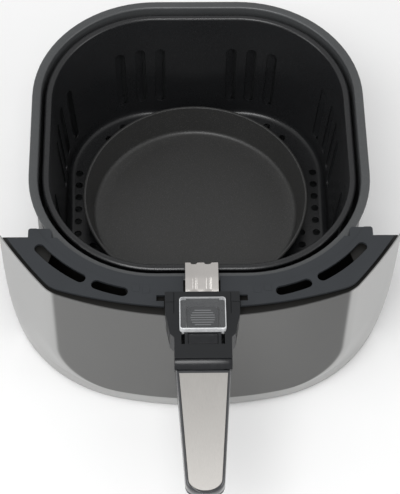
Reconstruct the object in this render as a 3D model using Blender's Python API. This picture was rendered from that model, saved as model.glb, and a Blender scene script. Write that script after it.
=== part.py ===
"""Pulled-out drawer set of a basket air fryer: pan, steel front, basket, handle and round baking pan.

Metres, +Z up. The origin is the middle of the drawer pan's base, on the table. The pan slides into
the fryer along +Y, so the steel front and the handle are on the -Y side.
"""

import math

import bmesh
import bpy
from mathutils import Matrix

# --- Driving dimensions -------------------------------------------------------------------------
GAP = 0.0003                  # between pieces that touch
SLIDE_GAP = 0.0005            # between pieces that slide on each other

# Drawer pan, a deep-drawn steel tub with a rolled rim.
PAN_HALF_WIDTH = 0.130
PAN_HALF_LENGTH = 0.1353
PAN_CORNER = 0.097
PAN_HEIGHT = 0.140
PAN_WALL = 0.0012
PAN_FLANGE = 0.007            # rim width, from its edge to the tub's mouth
PAN_RIM_THICK = 0.0022
PAN_TAPER = 0.006             # how far the wall leans in from mouth to floor
PAN_FLOOR_FILLET = 0.006

# Basket that hangs inside the pan.
BASKET_SIDE_GAP = 0.0027      # from the pan's mouth to the basket's rim
BASKET_FRONT_GAP = 0.0046     # more at the front, where the strap passes
BASKET_CORNER = 0.088
BASKET_DROP = 0.0044          # rim below the pan's rim
BASKET_DEPTH = 0.1072         # rim to floor
BASKET_WALL = 0.001
BASKET_BEAD = 0.0045          # width of the rolled rim
BASKET_BEAD_HIGH = 0.004
BASKET_TAPER_X = 0.0085
BASKET_TAPER_Y = 0.0115
BASKET_FLOOR_CORNER = 0.072
BASKET_FLOOR_FILLET = 0.006
VENT_WIDTH = 0.0026
VENT_LENGTH = 0.058
VENT_TOP = 0.0345              # below the basket's rim
BACK_VENTS = (0.0295, 0.046, 0.0625)
SIDE_VENTS = (-0.049, -0.032, 0.020, 0.037, 0.054, 0.071)
FOOT_RADIUS = 0.006
FOOT_INSET = (0.0443, 0.05465)    # from the basket's rim, along X and Y

# Round baking pan that stands on the basket's floor.
BAKING_ROOM = 0.0159          # beside its rim, at the basket's floor
BAKING_LEAN = 0.0048          # how far its wall leans in from rim to floor
BAKING_HEIGHT = 0.0268
BAKING_WALL = 0.0010
BAKING_RIM_ROLL = 0.0016
BAKING_FILLET = 0.005
BAKING_PLACE = (-0.0015, 0.0025)

# Steel front of the drawer.
FRONT_AHEAD = 0.0322          # its middle, at the top, ahead of the pan's rim
FRONT_RADIUS = 0.294
FRONT_CORNER_IN = 0.018       # where the bowed front turns into the side, inside the pan's flank
FRONT_CORNER_SOFT = 0.006
FRONT_REACH_BACK = 0.0403     # its ends, behind the pan's front edge
FRONT_SIDE_ROOM = 0.0195      # its ends, outside the pan's flanks
FRONT_HEIGHT = 0.1369
FRONT_SIDE_BOW = 0.0012
FRONT_LOW_BOW = 0.009         # extra bow of the sides at the bottom
FRONT_LOW_RADIUS = 0.043      # rounding of the front panel's lower corners
FRONT_BAND_HEIGHT = 0.017     # tucked-in band along the bottom
FRONT_BAND_TUCK = 0.004
FRONT_END_TUCK = 0.0085
SKIN_THICK = 0.0008

# Plastic carrier behind the steel, and the trim on top of it.
LINER_WALL = 0.0025
LINER_PAN_GAP = 0.0005
LINER_SKIN_GAP = 0.0010
LIP_WIDTH = 0.0062            # dark step between the trim and the steel
DECK_THICK = 0.0025
DECK_OVERLAP = 0.002          # how far the trim covers the pan's rim
DECK_SKIRT = 0.002
SKIRT_STEP = 0.0001           # skirt and tabs, inside the trim's own faces
DECK_TAB_INSET = (0.016, 0.002)   # from the pan's flank
DECK_TAB_LENGTH = 0.0045
DECK_BACK_INSET = 0.0035      # its back edge, ahead of the carrier's
SLOT_WIDTH = 0.0078
SLOT_OFFSET = 0.0140          # slot's middle, outside the pan's rim
SLOT_ANGLES = ((-60.0, -39.2), (-77.2, -66.8))
BASE_THICK = 0.002
BOSS_RADIUS = 0.004
END_SCREW_INSET = 0.001       # inside the pan's flank
END_SCREW_IN = 0.0090         # from the carrier's back face
MID_SCREW_X = 0.040
MID_SCREW_IN = 0.014          # behind the steel front's middle
BASE_SCREW_X = 0.060
BASE_SCREW_INSET = 0.020      # outer pair, inside the pan's flank
MID_PLATE_HALF = 0.047        # liner's top plate beside the notch
END_PLATE_INSET = 0.008       # liner's top plate at its ends, inside the pan's flank

# Notch for the handle's head.
HEAD_HALF_WIDTH = 0.027
HEAD_INSIDE = 0.017           # head's back face, behind the steel front's middle
NOTCH_GAP = 0.0006
NOTCH_EAR = 0.0055            # side pockets of the notch
NOTCH_EAR_LENGTH = 0.005
STRAP_HALF_WIDTH = 0.012
STRAP_THICK = 0.0012
STRAP_RISE = 0.0095           # top of its arch over the pan's rim
STRAP_FOOT = 0.062            # weld length on the basket's wall
STRAP_TANG_Z = 0.0040         # tang above the pan's rim
TANG_LENGTH = 0.008
TANG_SCREW_GRIP = 0.0025      # how far its screws reach into the head above it
RIVET_RADIUS = 0.0018
RIVET_HEAD = 0.0032
RIVET_HEAD_HIGH = 0.0009

# Handle.
HEAD_TOP = 0.008              # above the pan's rim
HEAD_DEPTH = 0.020
HEAD_LENGTH = 0.0555
HEAD_EAR_LENGTH = 0.0175      # straight part behind its cheeks
HEAD_CHEEK = (0.0035, 0.018)  # how far a cheek narrows, and over what length
HEAD_NECK_HALF = 0.0205
HEAD_NECK_STEP = 0.003        # length of the step from cheek to neck
BUTTON_HALF_WIDTH = 0.0115
BUTTON_PLACE = (0.0330, 0.0135)   # its front and back, ahead of the head's back face
BUTTON_THICK = 0.004
BUTTON_PROUD = 0.0015
BUTTON_RIDGE = 0.0004
SPRING_RADIUS = 0.003
SPRING_WIRE = 0.0005
SPRING_TURNS = 5
SPRING_PLACE = 0.0285         # ahead of the head's back face
GUARD_HALF_WIDTH = 0.0167
GUARD_PLACE = (0.0345, 0.0075)    # its front and back, ahead of the head's back face
GUARD_HIGH = 0.0045
GUARD_WALL = 0.0013
GUARD_TRAVEL = 0.009
GUARD_FOOT_X = 0.01425
GUARD_FOOT_HALF = 0.0010
GUARD_FOOT_LENGTH = 0.003
TRACK_HALF_WIDTH = 0.00125
TRACK_PLATE_HALF = 0.0105
TRACK_PLATE_THICK = 0.0010
TRACK_RECESS = 0.0018
LATCH_PLACE = 0.0095          # its pin, ahead of the head's back face
LATCH_UP = 0.0034             # its pin, above the pan's rim
LATCH_HALF_WIDTH = 0.004
LATCH_PIN_RADIUS = 0.00125
LATCH_EYE = 0.0027            # half height of the lever round its pin
LATCH_REACH = 0.0285
LATCH_ARM = 0.0025
LATCH_NOSE = 0.0020
LATCH_SWING = 0.001           # room behind its arm, past the head's back face
KEEPER_GAP = 0.0006
KEEPER_HALF_WIDTH = 0.009
KEEPER_THICK = 0.0012
KEEPER_HIGH = 0.013

# Steel angles that tie the front to the pan.
BRACKET_THICK = 0.0015
BRACKET_DROP = (0.022, 0.058)     # below the pan's rim
BRACKET_SCREW_DROP = (0.030, 0.050)
BRACKET_END_OUT = 0.0065          # past its screws, which lie at the pan's flank
BRACKET_WELD = (-10, -18, -26, -33)   # degrees round the pan's corner
KEEPER_SCREW_X = 0.006
KEEPER_SCREW_DROP = 0.0115

GRIP_LENGTH = 0.096
GRIP_HALF_WIDTH = 0.0200
GRIP_TIP_HALF = 0.0138
GRIP_TOP = 0.002              # top at the head, above the pan's rim
GRIP_FALL = 0.010             # how much lower the tip's top is
GRIP_THICK = 0.022
GRIP_SPLIT = 0.009            # parting line below the grip's top
GRIP_WALL = 0.0024
GRIP_SHARES = (0.0, 0.15, 0.35, 0.6, 0.8, 0.9, 0.95, 0.985, 1.0)   # where its sections are drawn
GRIP_SCREW_SHARES = (0.18, 0.78)
INLAY_MARGIN = 0.0024
INLAY_THICK = 0.0010
INLAY_START = 0.0082
BAND_LENGTH = 0.0065
BAND_STEP = 0.0005            # below the head's top and above the grip's
SCREW_RADIUS = 0.0015
SCREW_HEAD = 0.0030
SCREW_HEAD_HIGH = 0.0018

# --- Places worked out from them -----------------------------------------------------------------
RIM = PAN_HEIGHT
MOUTH_HALF_WIDTH = PAN_HALF_WIDTH - PAN_FLANGE
MOUTH_HALF_LENGTH = PAN_HALF_LENGTH - PAN_FLANGE
BASKET_HALF_WIDTH = MOUTH_HALF_WIDTH - BASKET_SIDE_GAP
BASKET_FRONT_Y = -MOUTH_HALF_LENGTH + BASKET_FRONT_GAP
BASKET_BACK_Y = MOUTH_HALF_LENGTH - BASKET_SIDE_GAP
BASKET_HALF_LENGTH = (BASKET_BACK_Y - BASKET_FRONT_Y) / 2
BASKET_Y = (BASKET_BACK_Y + BASKET_FRONT_Y) / 2
BASKET_RIM = RIM - BASKET_DROP
BASKET_FLOOR = BASKET_RIM - BASKET_DEPTH
FOOT_PLACE = (BASKET_HALF_WIDTH - FOOT_INSET[0], BASKET_HALF_LENGTH - FOOT_INSET[1])
BASKET_NARROW_WAY = min(BASKET_HALF_WIDTH - BASKET_TAPER_X, BASKET_HALF_LENGTH - BASKET_TAPER_Y)
BAKING_RIM_RADIUS = BASKET_NARROW_WAY - BASKET_BEAD - BAKING_ROOM
BAKING_FLOOR_RADIUS = BAKING_RIM_RADIUS - BAKING_RIM_ROLL - BAKING_LEAN
FRONT_Y = -PAN_HALF_LENGTH - FRONT_AHEAD
FRONT_BACK_Y = -PAN_HALF_LENGTH + FRONT_REACH_BACK
FRONT_CORNER_X = PAN_HALF_WIDTH - FRONT_CORNER_IN
FRONT_HALF_WIDTH = PAN_HALF_WIDTH + FRONT_SIDE_ROOM
DECK_TAB_X = (PAN_HALF_WIDTH - DECK_TAB_INSET[0], PAN_HALF_WIDTH - DECK_TAB_INSET[1])
END_SCREW = (PAN_HALF_WIDTH - END_SCREW_INSET, FRONT_BACK_Y - END_SCREW_IN)
MID_SCREW = (MID_SCREW_X, FRONT_Y + MID_SCREW_IN)
END_PLATE_X = PAN_HALF_WIDTH - END_PLATE_INSET
HEAD_BACK_Y = FRONT_Y + HEAD_INSIDE
HEAD_FRONT_Y = HEAD_BACK_Y - HEAD_LENGTH
HEAD_EAR_FRONT_Y = HEAD_BACK_Y - HEAD_EAR_LENGTH
BUTTON_Y = (HEAD_BACK_Y - BUTTON_PLACE[0], HEAD_BACK_Y - BUTTON_PLACE[1])
SPRING_Y = HEAD_BACK_Y - SPRING_PLACE
GUARD_Y = (HEAD_BACK_Y - GUARD_PLACE[0], HEAD_BACK_Y - GUARD_PLACE[1])
LATCH_PIVOT = (HEAD_BACK_Y - LATCH_PLACE, LATCH_UP)   # y, and z above the pan's rim
BRACKET_SCREW_X = PAN_HALF_WIDTH
BRACKET_END_X = BRACKET_SCREW_X + BRACKET_END_OUT
LINER_TOP = RIM - PAN_RIM_THICK - GAP
FRONT_BOTTOM = RIM - FRONT_HEIGHT
LINER_FRONT_Y = FRONT_Y + SKIN_THICK + LINER_SKIN_GAP
HEAD_Z = RIM + HEAD_TOP
KEEPER_SCREW_Z = RIM - KEEPER_SCREW_DROP
CORNER_X = PAN_HALF_WIDTH - PAN_CORNER
CORNER_Y = PAN_HALF_LENGTH - PAN_CORNER

SCREW_CLEAR = SCREW_RADIUS + GAP
CUT = 0.002                   # how far a cutter runs past a face


# --- Materials -----------------------------------------------------------------------------------
def finish(name, colour, roughness, metallic=0.0, alpha=1.0):
    material = bpy.data.materials.new(name)
    material.use_nodes = True
    shader = material.node_tree.nodes["Principled BSDF"]
    shader.inputs["Base Color"].default_value = (*colour, 1.0)
    shader.inputs["Roughness"].default_value = roughness
    shader.inputs["Metallic"].default_value = metallic
    shader.inputs["Alpha"].default_value = alpha
    material.diffuse_color = (*colour, alpha)
    return material


# --- Mesh helpers --------------------------------------------------------------------------------
def rounded_rectangle(half_x, half_y, radius, steps, centre_y=0.0):
    """Counter-clockwise outline with arcs of the given radius at its four corners."""
    outline = []
    for quarter, (side_x, side_y) in enumerate(((1, -1), (1, 1), (-1, 1), (-1, -1))):
        for step in range(steps + 1):
            angle = math.radians(90 * (quarter - 1) + 90 * step / steps)
            outline.append((side_x * (half_x - radius) + radius * math.cos(angle),
                            centre_y + side_y * (half_y - radius) + radius * math.sin(angle)))
    return outline


def circle(radius, sides, centre=(0.0, 0.0)):
    turns = [2 * math.pi * step / sides for step in range(sides)]
    return [(centre[0] + radius * math.cos(a), centre[1] + radius * math.sin(a)) for a in turns]


def lofted(rings):
    """Closed mesh through rings of equal length. Each four-cornered patch is split along its shorter
    diagonal, so that surfaces that run side by side keep their distance where they twist."""
    mesh = bmesh.new()
    loops = [[mesh.verts.new(point) for point in ring] for ring in rings]
    count = len(rings[0])
    for low, high in zip(loops, loops[1:]):
        for i in range(count):
            j = (i + 1) % count
            if (low[i].co - high[j].co).length <= (low[j].co - high[i].co).length:
                mesh.faces.new((low[i], low[j], high[j]))
                mesh.faces.new((low[i], high[j], high[i]))
            else:
                mesh.faces.new((low[i], low[j], high[i]))
                mesh.faces.new((low[j], high[j], high[i]))
    mesh.faces.new(list(reversed(loops[0])))
    mesh.faces.new(loops[-1])
    bmesh.ops.recalc_face_normals(mesh, faces=mesh.faces[:])
    if mesh.calc_volume(signed=True) < 0:
        bmesh.ops.reverse_faces(mesh, faces=mesh.faces[:])
    return mesh


def level(outline, z):
    return [(x, y, z) for x, y in outline]


def prism(outline, low, high):
    """Outline in plan, extruded from one height to another."""
    return lofted([level(outline, low), level(outline, high)])


def side_prism(outline, left, right):
    """Outline in (y, z), extruded across X."""
    return lofted([[(left, y, z) for y, z in outline], [(right, y, z) for y, z in outline]])


def block(x, y, z):
    return prism([(x[0], y[0]), (x[1], y[0]), (x[1], y[1]), (x[0], y[1])], z[0], z[1])


def drum(place, radius, length, axis="Z", sides=12):
    """Cylinder centred on a place, along X, Y or Z."""
    mesh = lofted([level(circle(radius, sides), -length / 2), level(circle(radius, sides), length / 2)])
    turn = {"X": Matrix.Rotation(math.pi / 2, 4, "Y"), "Y": Matrix.Rotation(-math.pi / 2, 4, "X"),
            "Z": Matrix.Identity(4)}[axis]
    mesh.transform(Matrix.Translation(place) @ turn)
    return mesh


def gathered(meshes):
    """One mesh that holds several separate shells."""
    whole = bmesh.new()
    for mesh in meshes:
        data = bpy.data.meshes.new("shell")
        mesh.to_mesh(data)
        mesh.free()
        whole.from_mesh(data)
        bpy.data.meshes.remove(data)
    return whole


def make(name, mesh, material=None, carrier=None, smooth=False):
    """Object from a mesh. Without a material it is a helper that only cuts or adds."""
    data = bpy.data.meshes.new(name)
    mesh.to_mesh(data)
    mesh.free()
    thing = bpy.data.objects.new(name, data)
    bpy.context.scene.collection.objects.link(thing)
    if smooth:
        data.shade_smooth()
        data.set_sharp_from_angle(angle=math.radians(35))
    if material is None:
        thing.hide_render = True
        thing.display_type = "WIRE"
    else:
        data.materials.append(material)
    if carrier is not None:
        thing.parent = carrier
        thing.matrix_parent_inverse = Matrix.Translation(carrier.location).inverted()
    return thing


def make_each(name, meshes, material, carrier=None):
    """Like pieces, each its own object, numbered from 1."""
    for number, mesh in enumerate(meshes, 1):
        make(f"{name}_{number}", mesh, material, carrier, smooth=True)


def combine(thing, meshes, operation):
    helper = make(thing.name + "_" + operation.lower(), gathered(meshes))
    modifier = thing.modifiers.new(operation.lower(), "BOOLEAN")
    modifier.operation = operation
    modifier.object = helper
    modifier.use_self = True


def cut(thing, *meshes):
    combine(thing, meshes, "DIFFERENCE")


def join(thing, *meshes):
    combine(thing, meshes, "UNION")


def joint_empty(name, place, parent=None):
    empty = bpy.data.objects.new(name, None)
    empty.location = place
    empty.empty_display_size = 0.02
    bpy.context.scene.collection.objects.link(empty)
    if parent is not None:
        empty.parent = parent
        empty.matrix_parent_inverse = Matrix.Translation(parent.location).inverted()
    return empty


def screw(place, length, direction=1):
    """Vertical screw whose head is at its place and whose shank points up, or down for -1."""
    x, y, z = place
    head = level(circle(SCREW_HEAD, 10, (x, y)), z)
    under = [(px, py, z + direction * SCREW_HEAD_HIGH) for px, py in circle(SCREW_HEAD, 10, (x, y))]
    neck = [(px, py, z + direction * SCREW_HEAD_HIGH) for px, py in circle(SCREW_RADIUS, 10, (x, y))]
    end = [(px, py, z + direction * length) for px, py in circle(SCREW_RADIUS, 10, (x, y))]
    return lofted([head, under, neck, end])


def mirrored(places):
    return [(side * x, y) for x, y in places for side in (-1, 1)]


# --- Shared outlines ------------------------------------------------------------------------------
def fillet_points(radius, steps):
    """Quarter turn from a floor to a wall, as (inset from the wall, height above the floor)."""
    turns = [math.pi / 2 * step / steps for step in range(steps + 1)]
    return [(radius * (1 - math.sin(a)), radius * (1 - math.cos(a))) for a in turns]


def pan_outline(inset, steps=8):
    return rounded_rectangle(PAN_HALF_WIDTH - inset, PAN_HALF_LENGTH - inset, PAN_CORNER - inset, steps)


def basket_outline(z, inset, steps=8):
    """Outline of the basket's wall line at a height, which narrows from its neck to its floor."""
    down = min(max((BASKET_RIM - z) / BASKET_DEPTH, 0.0), 1.0)
    half_x = BASKET_HALF_WIDTH - BASKET_BEAD - BASKET_TAPER_X * down
    half_y = BASKET_HALF_LENGTH - BASKET_BEAD - BASKET_TAPER_Y * down
    neck_corner = BASKET_CORNER - BASKET_BEAD
    corner = neck_corner + (BASKET_FLOOR_CORNER - neck_corner) * down
    return rounded_rectangle(half_x - inset, half_y - inset, corner - inset, steps, BASKET_Y)


def front_path(z):
    """The steel front's line in plan at a height, from its end on -X to its end on +X."""
    drop = RIM - z
    panel_bottom = FRONT_HEIGHT - FRONT_BAND_HEIGHT
    round_start = panel_bottom - FRONT_LOW_RADIUS
    into_round = min(max(drop - round_start, 0.0), FRONT_LOW_RADIUS)
    corner_in = FRONT_LOW_RADIUS - math.sqrt(FRONT_LOW_RADIUS ** 2 - into_round ** 2)
    corner_x = FRONT_CORNER_X - corner_in
    tuck = FRONT_BAND_TUCK * (max(drop - panel_bottom, 0.0) / FRONT_BAND_HEIGHT) ** 1.3
    end_x = FRONT_HALF_WIDTH - FRONT_END_TUCK * (drop / FRONT_HEIGHT) ** 3
    bow = FRONT_SIDE_BOW + FRONT_LOW_BOW * corner_in / FRONT_LOW_RADIUS

    def front(x):
        return FRONT_Y + tuck + FRONT_RADIUS - math.sqrt(FRONT_RADIUS ** 2 - x * x)

    run_x, run_y = end_x - corner_x, FRONT_BACK_Y - front(corner_x)
    length = math.hypot(run_x, run_y)

    def side(t):
        swell = 4 * bow * t * (1 - t) / length
        return (corner_x + run_x * t + run_y * swell, front(corner_x) + run_y * t - run_x * swell)

    half = [(corner_x - FRONT_CORNER_SOFT) * step / 6 for step in range(7)]
    half = [(x, front(x)) for x in half]
    before, after = half[-1], side(FRONT_CORNER_SOFT / length)
    middle = (corner_x, front(corner_x))
    for t in (0.33, 0.67):
        half.append(tuple((1 - t) ** 2 * a + 2 * t * (1 - t) * b + t * t * c
                          for a, b, c in zip(before, middle, after)))
    start = FRONT_CORNER_SOFT / length
    half += [side(start + (1 - start) * step / 5) for step in range(6)]
    return [(-x, y) for x, y in reversed(half[1:])] + half


def inset_path(path, distance, back_y):
    """The path moved inwards, with its ends kept on the line y = back_y."""
    moved = []
    for i, (x, y) in enumerate(path):
        ahead, behind = path[min(i + 1, len(path) - 1)], path[max(i - 1, 0)]
        along_x, along_y = ahead[0] - behind[0], ahead[1] - behind[1]
        length = math.hypot(along_x, along_y)
        moved.append((x - distance * along_y / length, y + distance * along_x / length))
    for end, inner, third in ((0, 1, 2), (-1, -2, -3)):
        if moved[inner][1] > back_y - GAP:
            moved[inner] = tuple((a + b) / 2 for a, b in zip(moved[inner], moved[third]))
        slope = (moved[end][0] - moved[inner][0]) / (moved[end][1] - moved[inner][1])
        moved[end] = (moved[inner][0] + slope * (back_y - moved[inner][1]), back_y)
    return moved


def pan_arc(offset, back_y, steps=6):
    """Line that runs at an offset outside the pan's rim, from y = back_y on +X round to -X."""
    radius = PAN_CORNER + offset
    start = math.asin((back_y + CORNER_Y) / radius)
    turns = [start + (-math.pi / 2 - start) * step / steps for step in range(steps + 1)]
    half = [(CORNER_X + radius * math.cos(a), -CORNER_Y + radius * math.sin(a)) for a in turns]
    return half + [(-x, y) for x, y in reversed(half)]


def crescent(z, front_inset, back_inset, pan_offset):
    """Plan of the space between the pan and the steel front, as a counter-clockwise outline."""
    back_y = FRONT_BACK_Y - back_inset
    return inset_path(front_path(z), front_inset, back_y) + pan_arc(pan_offset, back_y)


def front_levels():
    """Heights at which the front's shape changes, from its bottom to its top."""
    panel = FRONT_BOTTOM + FRONT_BAND_HEIGHT
    shares = (0.0, 0.04, 0.14, 0.3, 0.5, 0.75, 1.0)
    band = [FRONT_BOTTOM + FRONT_BAND_HEIGHT * share for share in (0.0, 0.35, 0.7)]
    return band + [panel + FRONT_LOW_RADIUS * share for share in shares] + [RIM - 0.035, RIM]


# --- Drawer: everything that stays on the pan -----------------------------------------------------
def drawer_pan(material):
    lean = PAN_FLANGE + PAN_TAPER
    outer = [(lean - PAN_WALL + inset, up) for inset, up in fillet_points(PAN_FLOOR_FILLET, 3)]
    outer += [(PAN_FLANGE - PAN_WALL, RIM - PAN_RIM_THICK), (0.0006, RIM - PAN_RIM_THICK),
              (0.0, RIM - PAN_RIM_THICK / 2), (0.0006, RIM), (PAN_FLANGE - 0.0012, RIM),
              (PAN_FLANGE, RIM - 0.0012)]
    inner_fillet = PAN_FLOOR_FILLET - PAN_WALL
    inner = [(lean + inset, PAN_WALL + up) for inset, up in reversed(fillet_points(inner_fillet, 3))]
    rings = [level(pan_outline(inset), z) for inset, z in outer + inner]
    return make("drawer_pan", lofted(rings), material, smooth=True)


def fascia_skin(material):
    rings = []
    for z in front_levels():
        path = front_path(z)
        rings.append(level(path + inset_path(path, SKIN_THICK, FRONT_BACK_Y)[::-1], z))
    return make("fascia_skin", lofted(rings), material, smooth=True)


def liner_rings(depth, pan_offset, back_inset, low, high):
    """Crescents that follow the steel front at a depth behind it, between two heights."""
    heights = [low] + [z for z in front_levels() if low < z < high] + [high]
    rings = []
    for z in heights:
        shape_z = min(max(z, FRONT_BOTTOM), RIM)
        rings.append(level(crescent(shape_z, depth, back_inset, pan_offset), z))
    return rings


def fascia_liner(material):
    depth = SKIN_THICK + LINER_SKIN_GAP
    pan_offset = PAN_WALL + LINER_PAN_GAP - PAN_FLANGE
    body = lofted(liner_rings(depth, pan_offset, 0.0, FRONT_BOTTOM + GAP, LINER_TOP))
    liner = make("fascia_liner", body, material)
    roof = LINER_TOP - LINER_WALL
    cut(liner, lofted(liner_rings(depth + LINER_WALL, pan_offset + LINER_WALL, LINER_WALL,
                                  FRONT_BOTTOM - CUT, roof)))
    windows = []
    hole = crescent(RIM, depth + LIP_WIDTH + DECK_SKIRT, LINER_WALL, pan_offset + LINER_WALL)
    for side in (-1, 1):
        piece = [(x, y) for x, y in hole if MID_PLATE_HALF < side * x < END_PLATE_X]
        windows.append(prism(piece, roof - CUT, LINER_TOP + CUT))
    cut(liner, *windows)
    throat = (HEAD_BACK_Y + LATCH_SWING, FRONT_Y + SKIN_THICK + LIP_WIDTH + 0.0005)
    holes = [block((-LATCH_HALF_WIDTH - 0.002, LATCH_HALF_WIDTH + 0.002), (throat[1], throat[0]),
                   (roof - CUT, LINER_TOP + CUT))]
    for x, y in mirrored([END_SCREW, MID_SCREW]):
        holes.append(drum((x, y, roof), SCREW_CLEAR, 4 * LINER_WALL, sides=10))
    for x, z in mirrored([(BRACKET_SCREW_X, RIM - BRACKET_SCREW_DROP[0]),
                          (BRACKET_SCREW_X, RIM - BRACKET_SCREW_DROP[1])]):
        holes.append(drum((x, FRONT_BACK_Y - LINER_WALL / 2, z), SCREW_CLEAR, 2 * LINER_WALL + CUT,
                          "Y", 10))
    for x in (-KEEPER_SCREW_X, KEEPER_SCREW_X):
        holes.append(drum((x, LINER_FRONT_Y + LINER_WALL, KEEPER_SCREW_Z), SCREW_CLEAR,
                          2 * (LINER_WALL - 0.0006), "Y", 10))
    cut(liner, *holes)
    return liner


def notch_cutters(low, high):
    """The way through the trim for the strap and the handle's head."""
    half = HEAD_HALF_WIDTH + NOTCH_GAP
    back = HEAD_BACK_Y + NOTCH_GAP
    strap = STRAP_HALF_WIDTH + 0.0015
    return [block((-strap, strap), (back - CUT, -PAN_HALF_LENGTH + 0.01), (low, high)),
            block((-half, half), (FRONT_Y - CUT, back), (low, high)),
            block((-half - NOTCH_EAR, half + NOTCH_EAR), (back - NOTCH_EAR_LENGTH, back), (low, high))]


def arc_slot(first, last, steps=5):
    """Slot with round ends that runs at a steady distance outside the pan's corner."""
    middle_radius = PAN_CORNER + SLOT_OFFSET
    half = SLOT_WIDTH / 2
    turns = [math.radians(first + (last - first) * step / steps) for step in range(steps + 1)]

    def point(angle, radius):
        return (CORNER_X + radius * math.cos(angle), -CORNER_Y + radius * math.sin(angle))

    outline = [point(angle, middle_radius + half) for angle in turns]
    for angle, sense in ((turns[-1], 1), (turns[0], -1)):
        centre = point(angle, middle_radius)
        for step in range(1, 4):
            turn = angle + (0 if sense == 1 else math.pi) + math.pi * step / 4
            outline.append((centre[0] + half * math.cos(turn), centre[1] + half * math.sin(turn)))
        if sense == 1:
            outline += [point(back, middle_radius - half) for back in reversed(turns)]
    return outline


def top_deck(material):
    low, high = RIM + GAP, RIM + GAP + DECK_THICK
    outer_inset = SKIN_THICK + LIP_WIDTH
    plan = crescent(RIM, outer_inset, DECK_BACK_INSET, -DECK_OVERLAP)
    deck = make("top_deck", prism(plan, low, high), material)
    skirt_low = LINER_TOP + GAP
    skirt = make("deck_skirt", prism(crescent(RIM, outer_inset + SKIRT_STEP, DECK_BACK_INSET + SKIRT_STEP,
                                              0.0015), skirt_low, low + 0.0002))
    inside = crescent(RIM, outer_inset + DECK_SKIRT, DECK_BACK_INSET + DECK_SKIRT, -0.004)
    cut(skirt, prism(inside, skirt_low - CUT, low + CUT))
    modifier = deck.modifiers.new("skirt", "BOOLEAN")
    modifier.operation = "UNION"
    modifier.object = skirt
    tabs = []
    for side in (-1, 1):
        near, far = sorted((side * DECK_TAB_X[0], side * DECK_TAB_X[1]))
        tab_start = FRONT_BACK_Y - DECK_BACK_INSET - 0.004
        tabs.append(block((near, far), (tab_start, FRONT_BACK_Y + DECK_TAB_LENGTH),
                          (low + SKIRT_STEP, high - SKIRT_STEP)))
    bosses = [drum((x, y, (skirt_low + high - 0.0005) / 2), BOSS_RADIUS, high - 0.0005 - skirt_low)
              for x, y in mirrored([END_SCREW, MID_SCREW])]
    edge = FRONT_Y + outer_inset
    bridge = block((-MID_SCREW[0] + 0.002, MID_SCREW[0] - 0.002), (edge, HEAD_BACK_Y + CUT), (skirt_low, RIM))
    join(deck, *tabs, *bosses, bridge)
    openings = notch_cutters(RIM, high + CUT)
    half = LATCH_HALF_WIDTH + 0.0015
    openings.append(block((-half, half), (edge + 0.0015, latch_arm_y() + LATCH_ARM + 0.003),
                          (skirt_low - CUT, high + CUT)))
    for first, last in SLOT_ANGLES:
        outline = arc_slot(first, last)
        openings.append(prism(outline, low - CUT, high + CUT))
        openings.append(prism([(-x, y) for x, y in reversed(outline)], low - CUT, high + CUT))
    for x, y in mirrored([END_SCREW, MID_SCREW]):
        openings.append(drum((x, y, skirt_low), SCREW_CLEAR, 2 * 0.0036, sides=10))
    cut(deck, *openings)
    return deck


def base_cover(material):
    depth = SKIN_THICK + LINER_SKIN_GAP + LINER_WALL + GAP
    pan_offset = PAN_WALL + LINER_PAN_GAP - PAN_FLANGE + LINER_WALL + GAP
    low = FRONT_BOTTOM + GAP
    rings = [level(crescent(z, depth, LINER_WALL + GAP, pan_offset), z)
             for z in (low, low + BASE_THICK)]
    return make("base_cover", lofted(rings), material)


def front_y(x, z, depth):
    """Where the front's line, moved inwards by a depth, crosses a given x."""
    path = inset_path(front_path(z), depth, FRONT_BACK_Y)
    for (x0, y0), (x1, y1) in zip(path, path[1:]):
        if x0 <= x <= x1:
            return y0 + (y1 - y0) * (x - x0) / (x1 - x0)
    return FRONT_BACK_Y


def base_screw_places():
    depth = SKIN_THICK + LINER_SKIN_GAP + LINER_WALL + BOSS_RADIUS - 0.001
    across = (BASE_SCREW_X, PAN_HALF_WIDTH - BASE_SCREW_INSET)
    return mirrored([(x, front_y(x, FRONT_BOTTOM, depth)) for x in across])


def base_fixing(liner, cover, material):
    """Bosses in the carrier, holes through the cover, and the screws between them."""
    top_of_cover = FRONT_BOTTOM + GAP + BASE_THICK
    low, high = top_of_cover + GAP, top_of_cover + 0.012
    bosses, holes, through, screws = [], [], [], []
    for x, y in base_screw_places():
        bosses.append(drum((x, y, (low + high) / 2), BOSS_RADIUS, high - low))
        holes.append(drum((x, y, low), SCREW_CLEAR, 2 * 0.0085, sides=10))
        through.append(drum((x, y, low), SCREW_CLEAR, 4 * BASE_THICK, sides=10))
        screws.append(screw((x, y, FRONT_BOTTOM - SCREW_HEAD_HIGH), 0.0118))
    join(liner, *bosses)
    cut(liner, *holes)
    cut(cover, *through)
    make_each("base_screw", screws, material)


def deck_screws(material):
    head = LINER_TOP - LINER_WALL - GAP - SCREW_HEAD_HIGH
    screws = [screw((x, y, head), SCREW_HEAD_HIGH + LINER_WALL + 0.0034)
              for x, y in mirrored([END_SCREW, MID_SCREW])]
    make_each("deck_screw", screws, material)


def bracket_path():
    """Line in plan from the pan's flank to the back of the carrier, on +X."""
    radius = PAN_CORNER - PAN_FLANGE + PAN_WALL + GAP
    turns = [math.radians(angle) for angle in BRACKET_WELD]
    flank = [(CORNER_X + radius * math.cos(a), -CORNER_Y + radius * math.sin(a)) for a in turns]
    back = FRONT_BACK_Y + GAP
    return flank + [(flank[-1][0] + 0.003, back + 0.004), (flank[-1][0] + 0.007, back),
                    (BRACKET_END_X, back)]


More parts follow.
